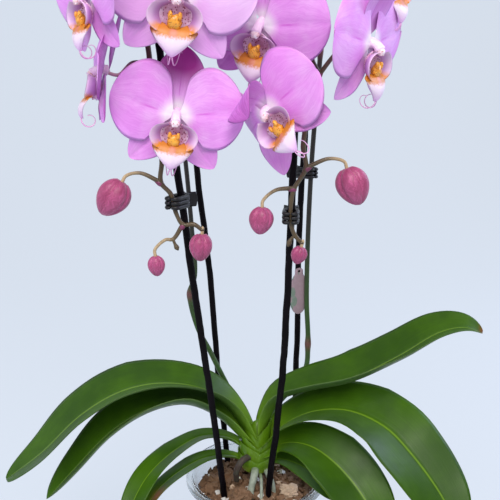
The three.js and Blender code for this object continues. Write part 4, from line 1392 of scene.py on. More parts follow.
@dataclass
class Leaf:
    """One strap leaf, folded along its midrib.

    The midrib's points are counted from the bark's surface; fold and roll are in degrees at the
    base and the tip; scars are (along, across, size along, size across).
    """

    name: str
    width: float
    fold: tuple[float, float]
    roll: tuple[float, float]
    midrib: list[tuple[float, float, float]]
    wave: float = 1.2
    scars: tuple[tuple[float, float, float, float], ...] = ()
    thickness: float = 2.4

    def width_at(self, along: float) -> float:
        """The width at a share of the length, as a share of the greatest width."""
        base = mix(0.42, 1, min(1, along / 0.5) ** 1.2)
        tip = math.sqrt(max(0, 1 - max(0, (along - 0.55) / 0.45) ** 2.3))
        return max(0.03, base * tip)

    def scar_at(self, along: float, across: float) -> float:
        """How brown the leaf is at a place."""
        return max([bump_at(along, a, p) * bump_at(across, b, q) for a, b, p, q in self.scars], default=0.0)

    def build(self) -> None:
        """Lofts the blade along its midrib and dresses it."""
        steps = 90
        path = even_path(smooth_path(spots(self.midrib), 14), steps)
        ways = directions(path)
        phase = len(self.name) + self.width

        def place(along: float, across: float) -> Vector:
            """A point of the upper face."""
            index = min(steps - 1, int(along * steps))
            share = along * steps - index
            centre = path[index].lerp(path[index + 1], share)
            way = ways[index].lerp(ways[index + 1], share).normalized()
            level = Vector((0, 0, 1)).cross(way).normalized()
            turn = math.radians(mix(*self.roll, along))
            side = Quaternion(way, turn) @ level
            normal = way.cross(side).normalized()
            half = 0.5 * self.width * self.width_at(along)
            rise = math.tan(math.radians(mix(*self.fold, along)))
            lift = abs(across) ** 1.4 * half * rise
            groove = 0.9 * bump_at(across, 0, 0.06) * (1 - along)
            swell = 0.5 * math.sin(math.pi * abs(across)) * self.width / 50
            ripple = self.wave * across**2 * math.sin(8 * along + phase + across) * ramp(0.1, 0.4, along)
            return centre + side * across * half + normal * (lift - groove + swell + ripple)

        blade = Shape()
        blade.blade(place, self.thickness, 56, 20, turned=True, deep=self.scar_at)
        piece = blade.build("strap_" + self.name, [LEAF.material(), LEAF_UNDER.material()])
        settle(piece, "leaf", self.name)


LEAVES = [
    Leaf("leaf_left_top", 64, (30, 8), (0, -4), [
        (-6, 10, 40), (-16, 9, 62), (-30, 7, 80), (-49, 4, 92), (-83, -2, 99), (-116, -10, 95),
        (-149, -20, 78),
        (-182, -30, 48), (-211, -36, 27),
    ]),
    Leaf("leaf_left_under", 46, (35, 20), (0, 0), [
        (-6, 9, 34), (-30, 7, 62), (-60, 4, 78), (-92, -6, 77), (-124, -18, 62), (-152, -30, 36),
        (-176, -42, 12),
    ]),
    Leaf("leaf_left_front", 25, (20, 5), (0, 0), [
        (-5, 9, 26), (-22, 9, 40), (-46, 0, 48), (-66, -16, 46), (-88, -44, 38), (-99, -66, 25),
        (-104, -82, 8),
    ]),
    Leaf("leaf_left_low", 19, (15, 5), (0, 0), [
        (-5, 8, 18), (-24, 6, 25), (-46, -4, 28), (-66, -20, 25), (-83, -38, 18), (-93, -54, 8),
    ], scars=((0.86, 0.5, 0.07, 0.6),)),
    Leaf("leaf_right_top", 54, (35, 20), (0, 8), [
        (8, 12, 40), (12, 12, 62), (22, 11, 79), (45, 8, 89), (84, 5, 100), (125, 2, 123), (158, 0, 145),
        (178, -2, 150), (193, -4, 146),
    ], scars=((1.0, 0.0, 0.012, 2.0),)),
    Leaf("leaf_right_under", 64, (25, 8), (10, 24), [
        (8, 9, 34), (24, 7, 54), (50, 2, 70), (81, -8, 76), (110, -25, 69), (129, -44, 54), (148, -64, 31),
        (160, -80, 8),
    ], wave=1.8),
    Leaf("leaf_right_front", 52, (25, 10), (22, 34), [
        (7, 8, 26), (26, 6, 37), (48, -8, 42), (70, -26, 34), (90, -46, 16), (106, -66, -10),
    ], wave=1.6),
    Leaf("leaf_right_low", 28, (25, 10), (15, 25), [
        (7, 8, 18), (24, 4, 22), (42, -8, 22), (58, -22, 17), (72, -36, 8),
    ]),
]


@dataclass
class Crown:
    """The short stem, wrapped in the folded bases of the leaves."""

    x: float = 2.0
    y: float = 9.0
    wraps: tuple[tuple[float, float, float, float], ...] = (
        (180, 11, 30, 15.0), (0, 11, 30, 15.0), (200, 14, 40, 13.8), (-15, 13, 38, 13.8),
        (172, 18, 50, 12.0), (8, 18, 50, 12.0), (188, 24, 60, 9.6), (-6, 24, 60, 9.2),
    )

    def wrap(self, form: Shape, facing: float, low: float, high: float, reach: float) -> None:
        """Adds one leaf base that wraps round the stem from one side."""

        def place(along: float, across: float) -> Vector:
            """A point of the wrap's outer face."""
            angle = math.radians(facing + across * 118)
            top = mix(high, low + 0.35 * (high - low), abs(across) ** 1.5)
            z = mix(low, top, along)
            swell = 0.84 + 0.2 * math.sin(math.pi * (0.15 + 0.6 * along))
            out = reach * swell + 3.5 * along * (1 - across**2)
            return spot(self.x + out * math.cos(angle), self.y + 0.82 * out * math.sin(angle), z)

        form.blade(place, 1.8, 16, 22, slots=(0, 0))

    def build(self) -> None:
        """Builds the stem with its wraps."""
        form = Shape()
        outline = [
            (2, 10), (8, 11), (11, 15), (12, 22), (11.5, 32), (9.5, 42), (7, 50), (4, 56), (1, 58),
        ]
        place = Matrix.Translation(spot(self.x, self.y, 0)) @ Matrix.Diagonal((1, 0.8, 1, 1))
        form.lathe(outline, 28, place)
        for facing, low, high, reach in self.wraps:
            self.wrap(form, facing, low, high, reach)
        settle(form.build("crown_sheaths", [SHEATH.material()]), "crown", "crown")


@dataclass
class Roots:
    """Aerial roots: silvery, with green showing through, and one dark stub."""

    silver: Colour = field(default_factory=lambda: shade("a9b3a4"))
    green: Colour = field(default_factory=lambda: shade("6f8a4e"))
    dark: Colour = field(default_factory=lambda: shade("43342f"))
    paths: tuple[tuple[str, float, tuple[tuple[float, float, float], ...]], ...] = (
        ("root_front", 3.6, ((0, 2, 16), (-1, -8, 14), (-4, -15, 3), (-5, -20, -9))),
        ("root_right", 3.2, ((8, 4, 14), (11, -3, 12), (15, -8, 2), (16, -11, -8))),
        ("root_left", 3.2, ((-4, 2, 26), (-12, -8, 27), (-17, -10, 18), (-17, -8, 8))),
        ("root_thin", 1.6, ((4, 2, 10), (5, -10, 9), (5, -22, 3), (4, -30, -7))),
        ("root_back", 3.2, ((2, 16, 18), (6, 24, 19), (10, 32, 6), (11, 37, -9))),
    )

    def build(self) -> None:
        """Sweeps each root."""
        for name, radius, rows in self.paths:
            path = smooth_path(spots(rows), 10)
            last = len(path) - 1
            radii, tones = [], []
            for k, point in enumerate(path):
                share = k / last
                radii.append(radius * (1 - 0.25 * share) * (1 + 0.1 * noise.noise(point * 0.25)))
                tone = blend(self.green, self.silver, ramp(0.0, 0.45, share))
                tones.append(self.dark if name == "root_left" else tone)
            settle(sweep("aerial_" + name, [rounded(path, radii, tones)], 18, ROOT), "root", name)


# ---- Hoops ----

HOOP_ROWS = {
    Side.LEFT: [
        (-28, -19, 0), (-33, -30, 0.12), (-39, -38, 0.23), (-47, -46, 0.37), (-55, -51, 0.51),
        (-69, -45, 0.725),
        (-78, -34, 0.88), (-82, -18, 0.97), (-83, 0, 1), (-80, 19, 0.97), (-73, 36, 0.88),
        (-61, 48, 0.74), (-51, 52, 0.52), (-42, 49, 0.36), (-35, 46, 0.16), (-27, 41, 0),
    ],
    Side.RIGHT: [
        (11, -20, 0), (17, -30, 0.13), (20, -36, 0.21), (23, -44, 0.32), (25, -50, 0.47), (27, -50, 0.6),
        (30, -44, 0.72), (36, -32, 0.88), (40, -17, 0.97), (43, 0, 1), (46, 18, 0.97), (49, 34, 0.88),
        (47, 48, 0.74), (43, 51, 0.6), (40, 51, 0.46), (39, 49, 0.21), (35, 33, 0),
    ],
}


@dataclass
class Hoop:
    """A hoop of coated wire with both legs pushed into the bark."""

    side: Side
    radius: float = 2.75
    leg_depth: float = 62.0
    black: Colour = field(default_factory=lambda: shade("070407"))
    plum: Colour = field(default_factory=lambda: shade("110b11"))

    def path(self) -> list[Vector]:
        """The middle line from the front leg's end to the back leg's."""
        rows = HOOP_ROWS[self.side]
        first, last = rows[0], rows[-1]
        points = [spot(first[0] + 2, first[1] + 4, -self.leg_depth), *high_spots(rows)]
        points.append(spot(0.82 * last[0], 0.74 * last[1], -self.leg_depth))
        return smooth_path(points, 14)

    def build(self) -> None:
        """Sweeps it with a slight wobble."""
        path = self.path()
        radii, tones = [], []
        for k, point in enumerate(path):
            wobble = noise.noise_vector(point * 0.035) * 0.5 + noise.noise_vector(point * 0.16) * 0.25
            path[k] = point + wobble
            radii.append(self.radius * (1 + 0.06 * noise.noise(point * 0.2)))
            tones.append(blend(self.black, self.plum, 0.5 + 0.8 * noise.noise(point * 0.06)))
        strand = rounded(path, radii, tones)
        settle(sweep("wire_hoop_" + self.side.value, [strand], 18, WIRE), "wire", "hoop_" + self.side.value)


# ---- Flowers ----


@dataclass
class Tepal:
    """One sepal or petal in the flower's frame, where Z faces out and Y is up."""

    length: float
    width: float
    angle: float
    bend: float
    cup: float
    sit: float
    claw: float
    middle: float
    roundness: float
    ripple: float = 0.7
    # depth: darker towards the tip, as deeper colour and painted shade.
    colour_and_shade_depth: float = 0.0
    # tone: painted shade over the whole flower, and painted light where it is below 0.
    tone: float = 0.0
    upper: int = 0

    def width_at(self, along: float, across: float) -> float:
        """The half width at a share of the length, on one side."""
        high = ramp(-0.25, 0.25, across * self.upper) if self.upper else 0.5
        inner = min(1.0, self.claw + mix(2.6, 4.6, high) * along)
        full = max(0.0, math.sin(math.pi * min(1, max(0, along)) ** self.middle)) ** self.roundness
        return max(0.5, 0.5 * self.width * mix(0.92, 1.08, high) * inner * full)

    def add(self, form: Shape, seed: float) -> None:
        """Adds it to a flower."""
        turn = Matrix.Rotation(math.radians(self.angle), 4, "Z")
        bend = math.radians(self.bend) or 0.001
        reach = self.length - 1.5

        def place(along: float, across: float) -> Vector:
            """A point of its face."""
            half = self.width_at(along, across)
            y = 1.5 + reach / bend * math.sin(bend * along)
            z = self.sit + reach / bend * (1 - math.cos(bend * along))
            z += self.cup * across**2 * half - 0.9 * bump_at(across, 0, 0.09) * math.sin(math.pi * along)
            z += self.ripple * across**2 * math.sin(9 * along + 2.4 * across + seed) * ramp(0.2, 0.6, along)
            return turn @ Vector((across * half, y, z))

        def deep(along: float, across: float) -> float:
            """How dark it is with deeper colour and painted shade, or how white where it is below 0."""
            away = math.hypot(across * self.width_at(along, across), reach * along)
            # Darker towards the tip and the middle: deeper colour and painted shade.
            dark = self.colour_and_shade_depth * ramp(0.25, 0.85, along) * (1 - 0.5 * across**2)
            # The flower's tone adds painted shade, and painted light where it is below 0.
            return dark + self.tone - 1.35 * ramp(14, 3, away)

        form.blade(place, 1.0, 26, 20, slots=(0, 1), deep=deep)


@dataclass
class Blossom:
    """One flower: five tepals, the column and the lip, where the frame has it."""

    letter: str
    side: Side
    start: int
    face: tuple[float, float, float]
    roll: float
    size: float
    hood: float = -4.0
    petal_bend: float = -8.0
    sepal_bend: float = -10.0
    # depth: the dorsal sepal's deeper colour and painted shade towards its tip.
    colour_and_shade_depth: float = 0.55
    # tone: painted shade over the whole flower, and painted light where it is below 0.
    tone: float = 0.0
    fold: tuple[float, float] = (0.0, 0.0)
    spread: tuple[float, float] = (0.0, 0.0)
    petal_cup: float = -0.08
    half_span: float = 50.0
    top_sit: float = -4.0
    low_angle: float = 139.0
    petal_angle: float = 79.0

    def basis(self) -> tuple[Vector, Vector, Vector]:
        """Its sideways, upwards and outwards directions, rolled."""
        forward = Vector(self.face).normalized()
        side = Vector((0, 0, 1)).cross(forward).normalized()
        turn = Quaternion(forward, math.radians(self.roll))
        side = turn @ side
        return side, forward.cross(side), forward

    def middle(self) -> Vector:
        """Where its column meets its tepals, worked out from the frame's blossom."""
        _, up, forward = self.basis()
        return middle_of("blossom_" + self.letter) - (up * 0.78 - forward * 0.48) * self.size

    def place(self) -> Matrix:
        """The matrix that carries its own frame to the plant."""
        side, up, forward = self.basis()
        turn = Matrix((side, up, forward)).transposed().to_4x4()
        return Matrix.Translation(self.middle()) @ turn @ Matrix.Scale(self.size, 4)

    def tepals(self) -> list[Tepal]:
        """Two petals in front of three sepals."""
        span = self.half_span
        sepal = {"claw": 0.3, "middle": 0.9, "roundness": 0.62, "cup": 0.1, "ripple": 0.5, "tone": self.tone}
        petal = {"claw": 0.16, "middle": 1.0, "roundness": 0.5, "cup": self.petal_cup, "tone": self.tone}
        low = {"length": 0.97 * span, "width": 0.56 * span, "bend": self.sepal_bend, "sit": -1.8, **sepal}
        wide = {"length": 1.0 * span, "width": 1.2 * span, "sit": 1.4, "ripple": 1.0, **petal}
        top = {**low, "length": 0.98 * span, "width": 0.7 * span, "bend": self.hood, "middle": 1.15}
        top["sit"] = self.top_sit
        left, right = (self.petal_bend + turn for turn in self.fold)
        return [
            Tepal(angle=0, colour_and_shade_depth=self.colour_and_shade_depth, **top),
            Tepal(angle=self.low_angle, colour_and_shade_depth=0.15, **low),
            Tepal(angle=-self.low_angle, colour_and_shade_depth=0.15, **low),
            Tepal(angle=self.petal_angle + self.spread[0], bend=left, upper=1, **wide),
            Tepal(angle=-self.petal_angle + self.spread[1], bend=right, upper=-1, **wide),
        ]

    def petals(self) -> None:
        """The tepals and the column as one piece."""
        form = Shape()
        for k, tepal in enumerate(self.tepals()):
            tepal.add(form, 1.7 * k + 3.1 * ord(self.letter))
        path = smooth_path([Vector(p) for p in ((0, 1.5, -3), (0, 1, 2), (0, -0.6, 5.5), (0, -3.2, 8))], 6)
        form.tube(path, lambda share: 4.2 - 0.8 * math.sin(math.pi * share) - 0.4 * share, 18, slot=2)
        form.ball(Vector((0, -4.2, 8.8)), Vector((3.4, 2.8, 2.7)), slot=3, lumps=0.12)
        for sign in (-1, 1):
            form.ball(Vector((1.3 * sign, -6.0, 9.9)), Vector((0.9, 0.9, 0.8)), slot=3)
        finishes = [PETAL, PETAL_BACK, COLUMN, ANTHER]
        piece = form.moved(self.place()).build("petals_" + self.letter, [f.material() for f in finishes])
        settle(piece, "petal", "blossom_" + self.letter)

    def side_lobe(self, form: Shape, sign: int) -> None:
        """One upright lobe beside the throat."""

        def place(along: float, across: float) -> Vector:
            """A point of its inner face."""
            out = (across + 1) / 2
            turn = math.radians(mix(-56, 64, along))
            swell = 0.72 + 0.28 * math.sin(math.pi * min(1, 0.12 + 0.95 * along))
            reach = mix(8.2, 17.6 * swell, out)
            x = sign * reach * math.cos(turn)
            y = -13.4 + 0.86 * reach * math.sin(turn)
            z = mix(1.5, 9.5, out**0.8) + 2.2 * along * out + 0.5 * math.sin(7 * along) * out
            return Vector((x, y, z))

        form.blade(place, 0.9, 18, 12, slots=(0, 0), turned=sign < 0)

    def middle_lobe(self, form: Shape) -> None:
        """The pointed middle lobe with its raised shoulders and two tendrils."""

        def half_width(along: float) -> float:
            """Half its width at a share of its length."""
            if along < 0.2:
                return mix(8, 15.2, ramp(0, 0.2, along))
            return 14.8 * max(0.0, 1 - ((along - 0.2) / 0.8) ** 1.3) ** 0.9 + 0.4

        def place(along: float, across: float) -> Vector:
            """A point of its face."""
            y = -20.5 - 17.5 * along + 2.4 * across**2 * (1 - along)
            z = 7.2 + 5 * math.sin(0.8 * math.pi * along) - 3.0 * across**2 * (1 - 0.4 * along)
            z += 0.9 * bump_at(across, 0, 0.16) * (1 - along)
            return Vector((across * half_width(along), y, z))

        form.blade(place, 1.1, 24, 16, slots=(1, 1))
        tip = place(1.0, 0.0)
        for sign in (-1, 1):
            path = []
            for k in range(26):
                turn = math.radians(300 * k / 25)
                radius = 6.2 - 2.8 * k / 25
                aside = sign * (0.6 + 5.5 * k / 25)
                curl = Vector((aside, -radius * math.sin(turn), radius * math.cos(turn) - 6.2))
                path.append(tip + curl)
            form.tube(path, lambda share: 0.5 - 0.28 * share, 7, slot=4)

    def lip(self) -> None:
        """The lip: side lobes, throat, callus, middle lobe and tendrils as one piece."""
        form = Shape()
        for sign in (-1, 1):
            self.side_lobe(form, sign)
        bowl = [(0.4, -0.4), (4, 0.0), (7.4, 1.5), (10, 4.2), (10.4, 3.6), (7.8, 0.3), (4, -1.4), (0.4, -1.8)]
        form.lathe(bowl, 26, Matrix.Translation((0, -13.2, 0.4)) @ Matrix.Diagonal((1, 0.92, 1, 1)), slot=2)
        form.ball(Vector((0, -17.2, 7.0)), Vector((4.6, 4.8, 3.4)), slot=3, lumps=0.25)
        for sign in (-1, 1):
            form.ball(Vector((3.0 * sign, -13.4, 8.6)), Vector((1.5, 2.8, 1.7)), slot=3, lumps=0.2)
        self.middle_lobe(form)
        finishes = [SIDE_LOBE, MID_LOBE, THROAT, CALLUS, TENDRIL]
        piece = form.moved(self.place()).build("labellum_" + self.letter, [f.material() for f in finishes])
        settle(piece, "lip", "lip_" + self.letter)

    def build(self) -> None:
        """Builds its two pieces."""
        self.petals()
        self.lip()


BLOSSOMS = [
    # a: its dorsal sepal is much darker at its top, as deeper colour and the painted shadow of the flower
    # above.
    Blossom("a", Side.LEFT, 15, (0.05, -1, -0.12), -8, 0.94, hood=-8, colour_and_shade_depth=1.35),
    # b: painted lighter all over, as painted light.
    Blossom("b", Side.LEFT, 13, (0, -1, -0.2), -8, 1.02, tone=-0.3),
    Blossom("c", Side.LEFT, 14, (-0.95, -0.25, 0.22), 0, 0.9, petal_bend=14),
    Blossom("d", Side.LEFT, 13, (-0.8, -0.6, -0.05), 0, 0.88, petal_bend=6),
    # e: painted darker all over, as painted shade.
    Blossom(
        "e", Side.RIGHT, 14, (-0.6, -0.8, -0.15), 48, 0.94, hood=190, colour_and_shade_depth=0.6, tone=0.14, fold=(-62, 0),
        spread=(0, -24),
    ),
    Blossom("f", Side.RIGHT, 13, (0.8, -0.6, -0.15), 4, 0.96, hood=45),
    Blossom("g", Side.RIGHT, 12, (-0.35, -0.85, -0.25), -12, 0.98),
    Blossom("h", Side.RIGHT, 11, (0.75, -0.6, 0), 0, 0.94),
    Blossom("i", Side.RIGHT, 10, (0.3, 0.95, 0.1), 0, 0.8),
    Blossom("j", Side.LEFT, 12, (0.2, -0.95, 0.15), 0, 0.98),
    Blossom("k", Side.LEFT, 11, (-1, 0.2, 0.15), 0, 0.98),
    Blossom("l", Side.RIGHT, 10, (-0.3, -0.95, 0.15), 0, 0.98),
]


@dataclass
class Bud:
    """A closed bud whose three sepals meet in seams."""

    letter: str
    side: Side
    start: int
    along: tuple[float, float, float]
    length: float
    radius: float
    stalk: tuple[tuple[float, float, float], ...] = ()
    seams: int = 5

    def way(self) -> Vector:
        """From its base to its tip."""
        return Vector(self.along).normalized()

    def base(self) -> Vector:
        """Where its stalk meets it, worked out from the frame's bud."""
        low, high = (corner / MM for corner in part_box("bud_" + self.letter))
        return (low + high) / 2 - self.way() * 0.5 * self.length

    def build(self) -> None:
        """Lofts it with its seams."""
        turn = Vector((0, 0, 1)).rotation_difference(self.way()).to_matrix().to_4x4()
        place = Matrix.Translation(self.base()) @ turn
        levels, sides = 26, 60
        rings = []
        for level in range(1, levels):
            share = level / levels
            reach = self.radius * math.sin(math.pi * share**0.82) ** 0.56
            ring = []
            for k in range(sides):
                angle = 2 * math.pi * k / sides
                phase = (angle * self.seams / (2 * math.pi) + 0.32 + 0.1 * share) % 1.0
                seam = bump_at(abs(phase - 0.5), 0, 0.06) * (0.24 if k < sides // 2 else 0.18)
                lobe = 0.035 * math.cos(2 * math.pi * (phase - 0.5) + math.pi)
                wide = reach * (1 + lobe - seam * ramp(0, 0.12, share))
                shoulder = 0.06 * self.length * lobe * 20 * (1 - share)
                high = self.length * share - shoulder * 0.25
                ring.append(place @ Vector((wide * math.cos(angle), 0.9 * wide * math.sin(angle), high)))
            rings.append(ring)
        form = Shape()
        form.rings(rings, place @ Vector((0, 0, 0.6)), place @ Vector((0, 0, self.length)))
        settle(form.build("closed_bud_" + self.letter, [BUD.material()]), "bud", "bud_" + self.letter)


BUDS = [
    Bud("a", Side.LEFT, 17, (-13, -2, -20), 29, 12),
    Bud("b", Side.LEFT, 20, (1, 0, -15), 16, 6.4, stalk=((-7.5, 0, -11), (-13, 0, -11.5))),
    Bud("c", Side.LEFT, 22, (-2, -1, -22), 21, 9),
    Bud("d", Side.RIGHT, 16, (9, -2, -23), 29, 12),
    Bud("e", Side.RIGHT, 17, (-2, 0, -20), 21, 9),
    Bud("f", Side.RIGHT, 21, (-4, 0, -14), 14, 6),
]

SPIKE_ROWS = {
    Side.LEFT: [
        (-4, 25, 0.09), (-18, 38, 0.12), (-33, 38, 0.18), (-43, 41, 0.22), (-53, 41, 0.26), (-60, 41, 0.325),
        (-55, 41, 0.36), (-57, 42, 0.445), (-62, 41, 0.58), (-71, 39, 0.74), (-83, 27, 0.9), (-90, 0, 1.02),
        (-87, -30, 0.92), (-81, -49, 0.8), (-75, -54, 0.71), (-75, -58, 0.66), (-68, -60, 0.584),
        (-69, -61, 0.55), (-62, -61, 0.533), (-59, -61, 0.508), (-54, -61, 0.49), (-46, -61, 0.49),
        (-40, -61, 0.482),
    ],
    Side.RIGHT: [
        (6, 25, 0.09), (22, 36, 0.12), (46, 38, 0.18), (49, 43, 0.23), (47, 43, 0.31), (47, 44, 0.42),
        (49, 44, 0.56), (54, 40, 0.74), (56, 26, 0.91), (54, 0, 1.02), (46, -30, 0.92), (42, -46, 0.81),
        (38, -52, 0.72), (43, -53, 0.695), (38, -56, 0.66), (33, -59, 0.6), (35, -60, 0.57),
        (27, -61, 0.542), (25, -61, 0.526), (25, -61, 0.49), (28, -61, 0.474), (33, -61, 0.463),
    ],
}


@dataclass
class Spike:
    """A flower spike: the stem over its hoop, its joints, the stalks and their bracts."""

    side: Side
    joints: tuple[int, ...]
    tip_from: int
    tip: tuple[tuple[float, float, float], ...]
    radius: float = 3.1
    tip_radius: float = 1.5
    stalk_radius: float = 1.3
    green: Colour = field(default_factory=lambda: shade("2f5219"))
    olive: Colour = field(default_factory=lambda: shade("54442a"))
    # Near black: painted shade on the higher back stretch of the stem.
    painted_shade_colour: Colour = field(default_factory=lambda: shade("1d1a12"))
    red: Colour = field(default_factory=lambda: shade("7a4247"))
    cream: Colour = field(default_factory=lambda: shade("c3a983"))
    rosy: Colour = field(default_factory=lambda: shade("c79aa8"))
    plum: Colour = field(default_factory=lambda: shade("7c3358"))
    steps: int = 12

    def rows(self) -> list[Vector]:
        """The stem's own points."""
        return high_spots(SPIKE_ROWS[self.side])

    def tone_at(self, point: Vector) -> Colour:
        """Green low at the back, near black higher up as painted shade, olive towards the flowers."""
        high = (point.z - BARK_LEVEL) / HOOP_HEIGHT
        # Higher on the back stretch the green turns near black: painted shade.
        behind = blend(self.green, self.painted_shade_colour, ramp(0.28, 0.48, high))
        return blend(behind, self.olive, ramp(25, 0, point.y))

    def stem(self) -> Strand:
        """The main stem with its joints."""
        path = smooth_path(self.rows(), self.steps)
        last = len(path) - 1
        radii, tones = [], []
        for k, point in enumerate(path):
            share = min(1, 1.15 * k / last)
            radius = mix(self.radius, self.tip_radius, share) * mix(0.82, 1, ramp(30, 0, point.y))
            tone = self.tone_at(point)
            for joint in self.joints:
                near = bump_at((point - path[joint * self.steps]).length, 0, 5)
                radius *= 1 + 0.3 * near
                tone = blend(tone, self.red, 0.8 * near)
            for branch in range(13, len(self.rows()) - 1):
                radius *= 1 + 0.12 * bump_at((point - path[branch * self.steps]).length, 0, 3)
            radii.append(radius)
            tones.append(tone)
        return rounded(path, radii, tones)

    def stalk(self, points: list[Vector], end_tone: Colour) -> Strand:
        """A stalk that pales towards what it carries."""
        path = smooth_path(points, 8)
        last = len(path) - 1
        start = self.tone_at(path[0])
        tones = [blend(start, end_tone, ramp(0.05, 0.75, k / last)) for k in range(last + 1)]
        radii = [self.stalk_radius * (1.3 - 0.35 * ramp(0, 0.5, k / last)) for k in range(last + 1)]
        return rounded(path, radii, tones)

    def bract(self, start: Vector, towards: Vector) -> Strand:
        """The small scale under a stalk."""
        way = (towards - start).normalized()
        under = Vector((0, 0, -1.0))
        path = [start + way * step + under * (1.1 - 0.1 * step) for step in (0, 1.5, 3, 4.5, 6)]
        return rounded(path, [2.1, 2.1, 1.6, 1.0, 0.3], [self.plum] * 5)

    def build(self) -> None:
        """Sweeps the stem, the stalks and the bracts as one piece."""
        rows = self.rows()
        strands = [self.stem()]
        for blossom in (b for b in BLOSSOMS if b.side is self.side):
            start = rows[blossom.start]
            forward = blossom.basis()[2]
            end = blossom.middle() - forward * 1.5
            before = end - forward * 9
            middle = start.lerp(before, 0.55) + Vector((0, 0, 5))
            strands.append(self.stalk([start, middle, before, end], self.rosy))
            strands.append(self.bract(start, middle))
        for bud in (b for b in BUDS if b.side is self.side):
            start, end = rows[bud.start], bud.base() + bud.way() * 0.8
            before = end - bud.way() * 5
            if bud.start == len(rows) - 1:
                strands.append(self.stalk([start, before.lerp(start, 0.4), before, end], self.cream))
                continue
            turns = [start + Vector(p) for p in bud.stalk] or [start.lerp(before, 0.6) + Vector((0, 0, 4))]
            strands.append(self.stalk([start, *turns, before, end], self.cream))
            strands.append(self.bract(start, turns[0]))
        shoot = smooth_path([rows[self.tip_from] + Vector(p) for p in self.tip], 6)
        last = len(shoot) - 1
        shares = [k / last for k in range(last + 1)]
        swell = [mix(1.1, 1.9, ramp(0.4, 0.8, s)) * (1 - 0.6 * ramp(0.85, 1, s)) for s in shares]
        strands.append(rounded(shoot, swell, [self.olive] * (last + 1)))
        piece = sweep("flower_spike_" + self.side.value, strands, 14, STEM)
        settle(piece, "stem", "spike_" + self.side.value)


# ---- Clips and tag ----


@dataclass
class ClawClip:
    """A claw clip: two jaws with fingers, thumb plates and a spring between them."""

    name: str
    side: Side
    share: float
    front: bool
    bore: float = 4.05
    finger: float = 1.75
    height: float = 10.0
    black: Colour = field(default_factory=lambda: shade("1a191b"))

    def place(self) -> tuple[Matrix, float]:
        """The matrix with X from the rod to the stem, and the distance between them."""
        high = self.share * HOOP_HEIGHT
        rod = at_height(Hoop(self.side).path(), high, self.front)
        stem = at_height(smooth_path(high_spots(SPIKE_ROWS[self.side]), 40), high, self.front)
        reach = stem - rod
        heading = math.atan2(reach.y, reach.x)
        flat = Vector((reach.x, reach.y, 0)).length
        return Matrix.Translation((rod.x, rod.y, spot(0, 0, high).z)) @ Matrix.Rotation(heading, 4, "Z"), flat

    def build(self) -> None:
        """Builds the jaws, the plates and the spring as one piece."""
        place, gap = self.place()
        form = Shape()
        round_rod = self.bore + 0.6
        for sign in (-1, 1):
            for level in (-3.2, 0.0, 3.2):
                path = []
                for k in range(8):
                    a = math.radians(mix(170, 90, k / 7))
                    path.append(Vector((round_rod * math.cos(a), sign * round_rod * math.sin(a), level)))
                for k in range(9):
                    a = math.radians(mix(90, 12, k / 8))
                    reach = round_rod - 0.9 * ramp(0.6, 1, k / 8)
                    path.append(Vector((gap + reach * math.cos(a), sign * reach * math.sin(a), level)))
                form.tube(path, lambda share: self.finger * (1 - 0.35 * ramp(0.7, 1, share)), 8)
            self.plate(form, sign)
        barrel = [(0.5, -5), (2.3, -5), (2.5, -4.6), (2.5, 4.6), (2.3, 5), (0.5, 5)]
        axle = Matrix.Translation((-round_rod - 1.4, 0, 0))
        form.lathe(barrel, 18, axle)
        coil = []
        for k in range(62):
            a = 0.7 * k
            coil.append(Vector((-round_rod - 1.4 + 2.9 * math.cos(a), 2.9 * math.sin(a), -2.6 + 0.085 * k)))
        form.tube(coil, lambda share: 0.38, 6, slot=1)
        form.tones = [self.black] * len(form.points)
        piece = form.moved(place).build("claw_" + self.name, [CLIP.material(), SPRING.material()])
        settle(piece, "clip", self.name)

    def plate(self, form: Shape, sign: int) -> None:
        """Adds one thumb plate, curved and rounded, with the back of its jaw."""
        round_rod = self.bore + 0.6

        def place(along: float, across: float) -> Vector:
            """A point of its outer face."""
            x = mix(1.5, -round_rod - 9.5, along)
            y = sign * (round_rod + 0.9 - 3.2 * ramp(0.15, 0.55, along) + 3.6 * ramp(0.6, 1, along))
            wide = 0.5 * self.height * (1 + 0.12 * ramp(0.5, 0.7, along))
            wide *= 1 - 0.9 * ramp(0.9, 1.0, along) ** 2
            return Vector((x, y, across * wide))

        form.blade(place, 2.6, 20, 8, slots=(0, 0), turned=sign > 0)


CLIPS = [
    ClawClip("clip_left_low", Side.LEFT, 0.521, True),
    ClawClip("clip_right_low", Side.RIGHT, 0.5, True),
    ClawClip("clip_right_rear", Side.RIGHT, 0.54, False),
    ClawClip("clip_right_high", Side.RIGHT, 0.76, True),
    ClawClip("clip_left_high", Side.LEFT, 0.755, True),
]


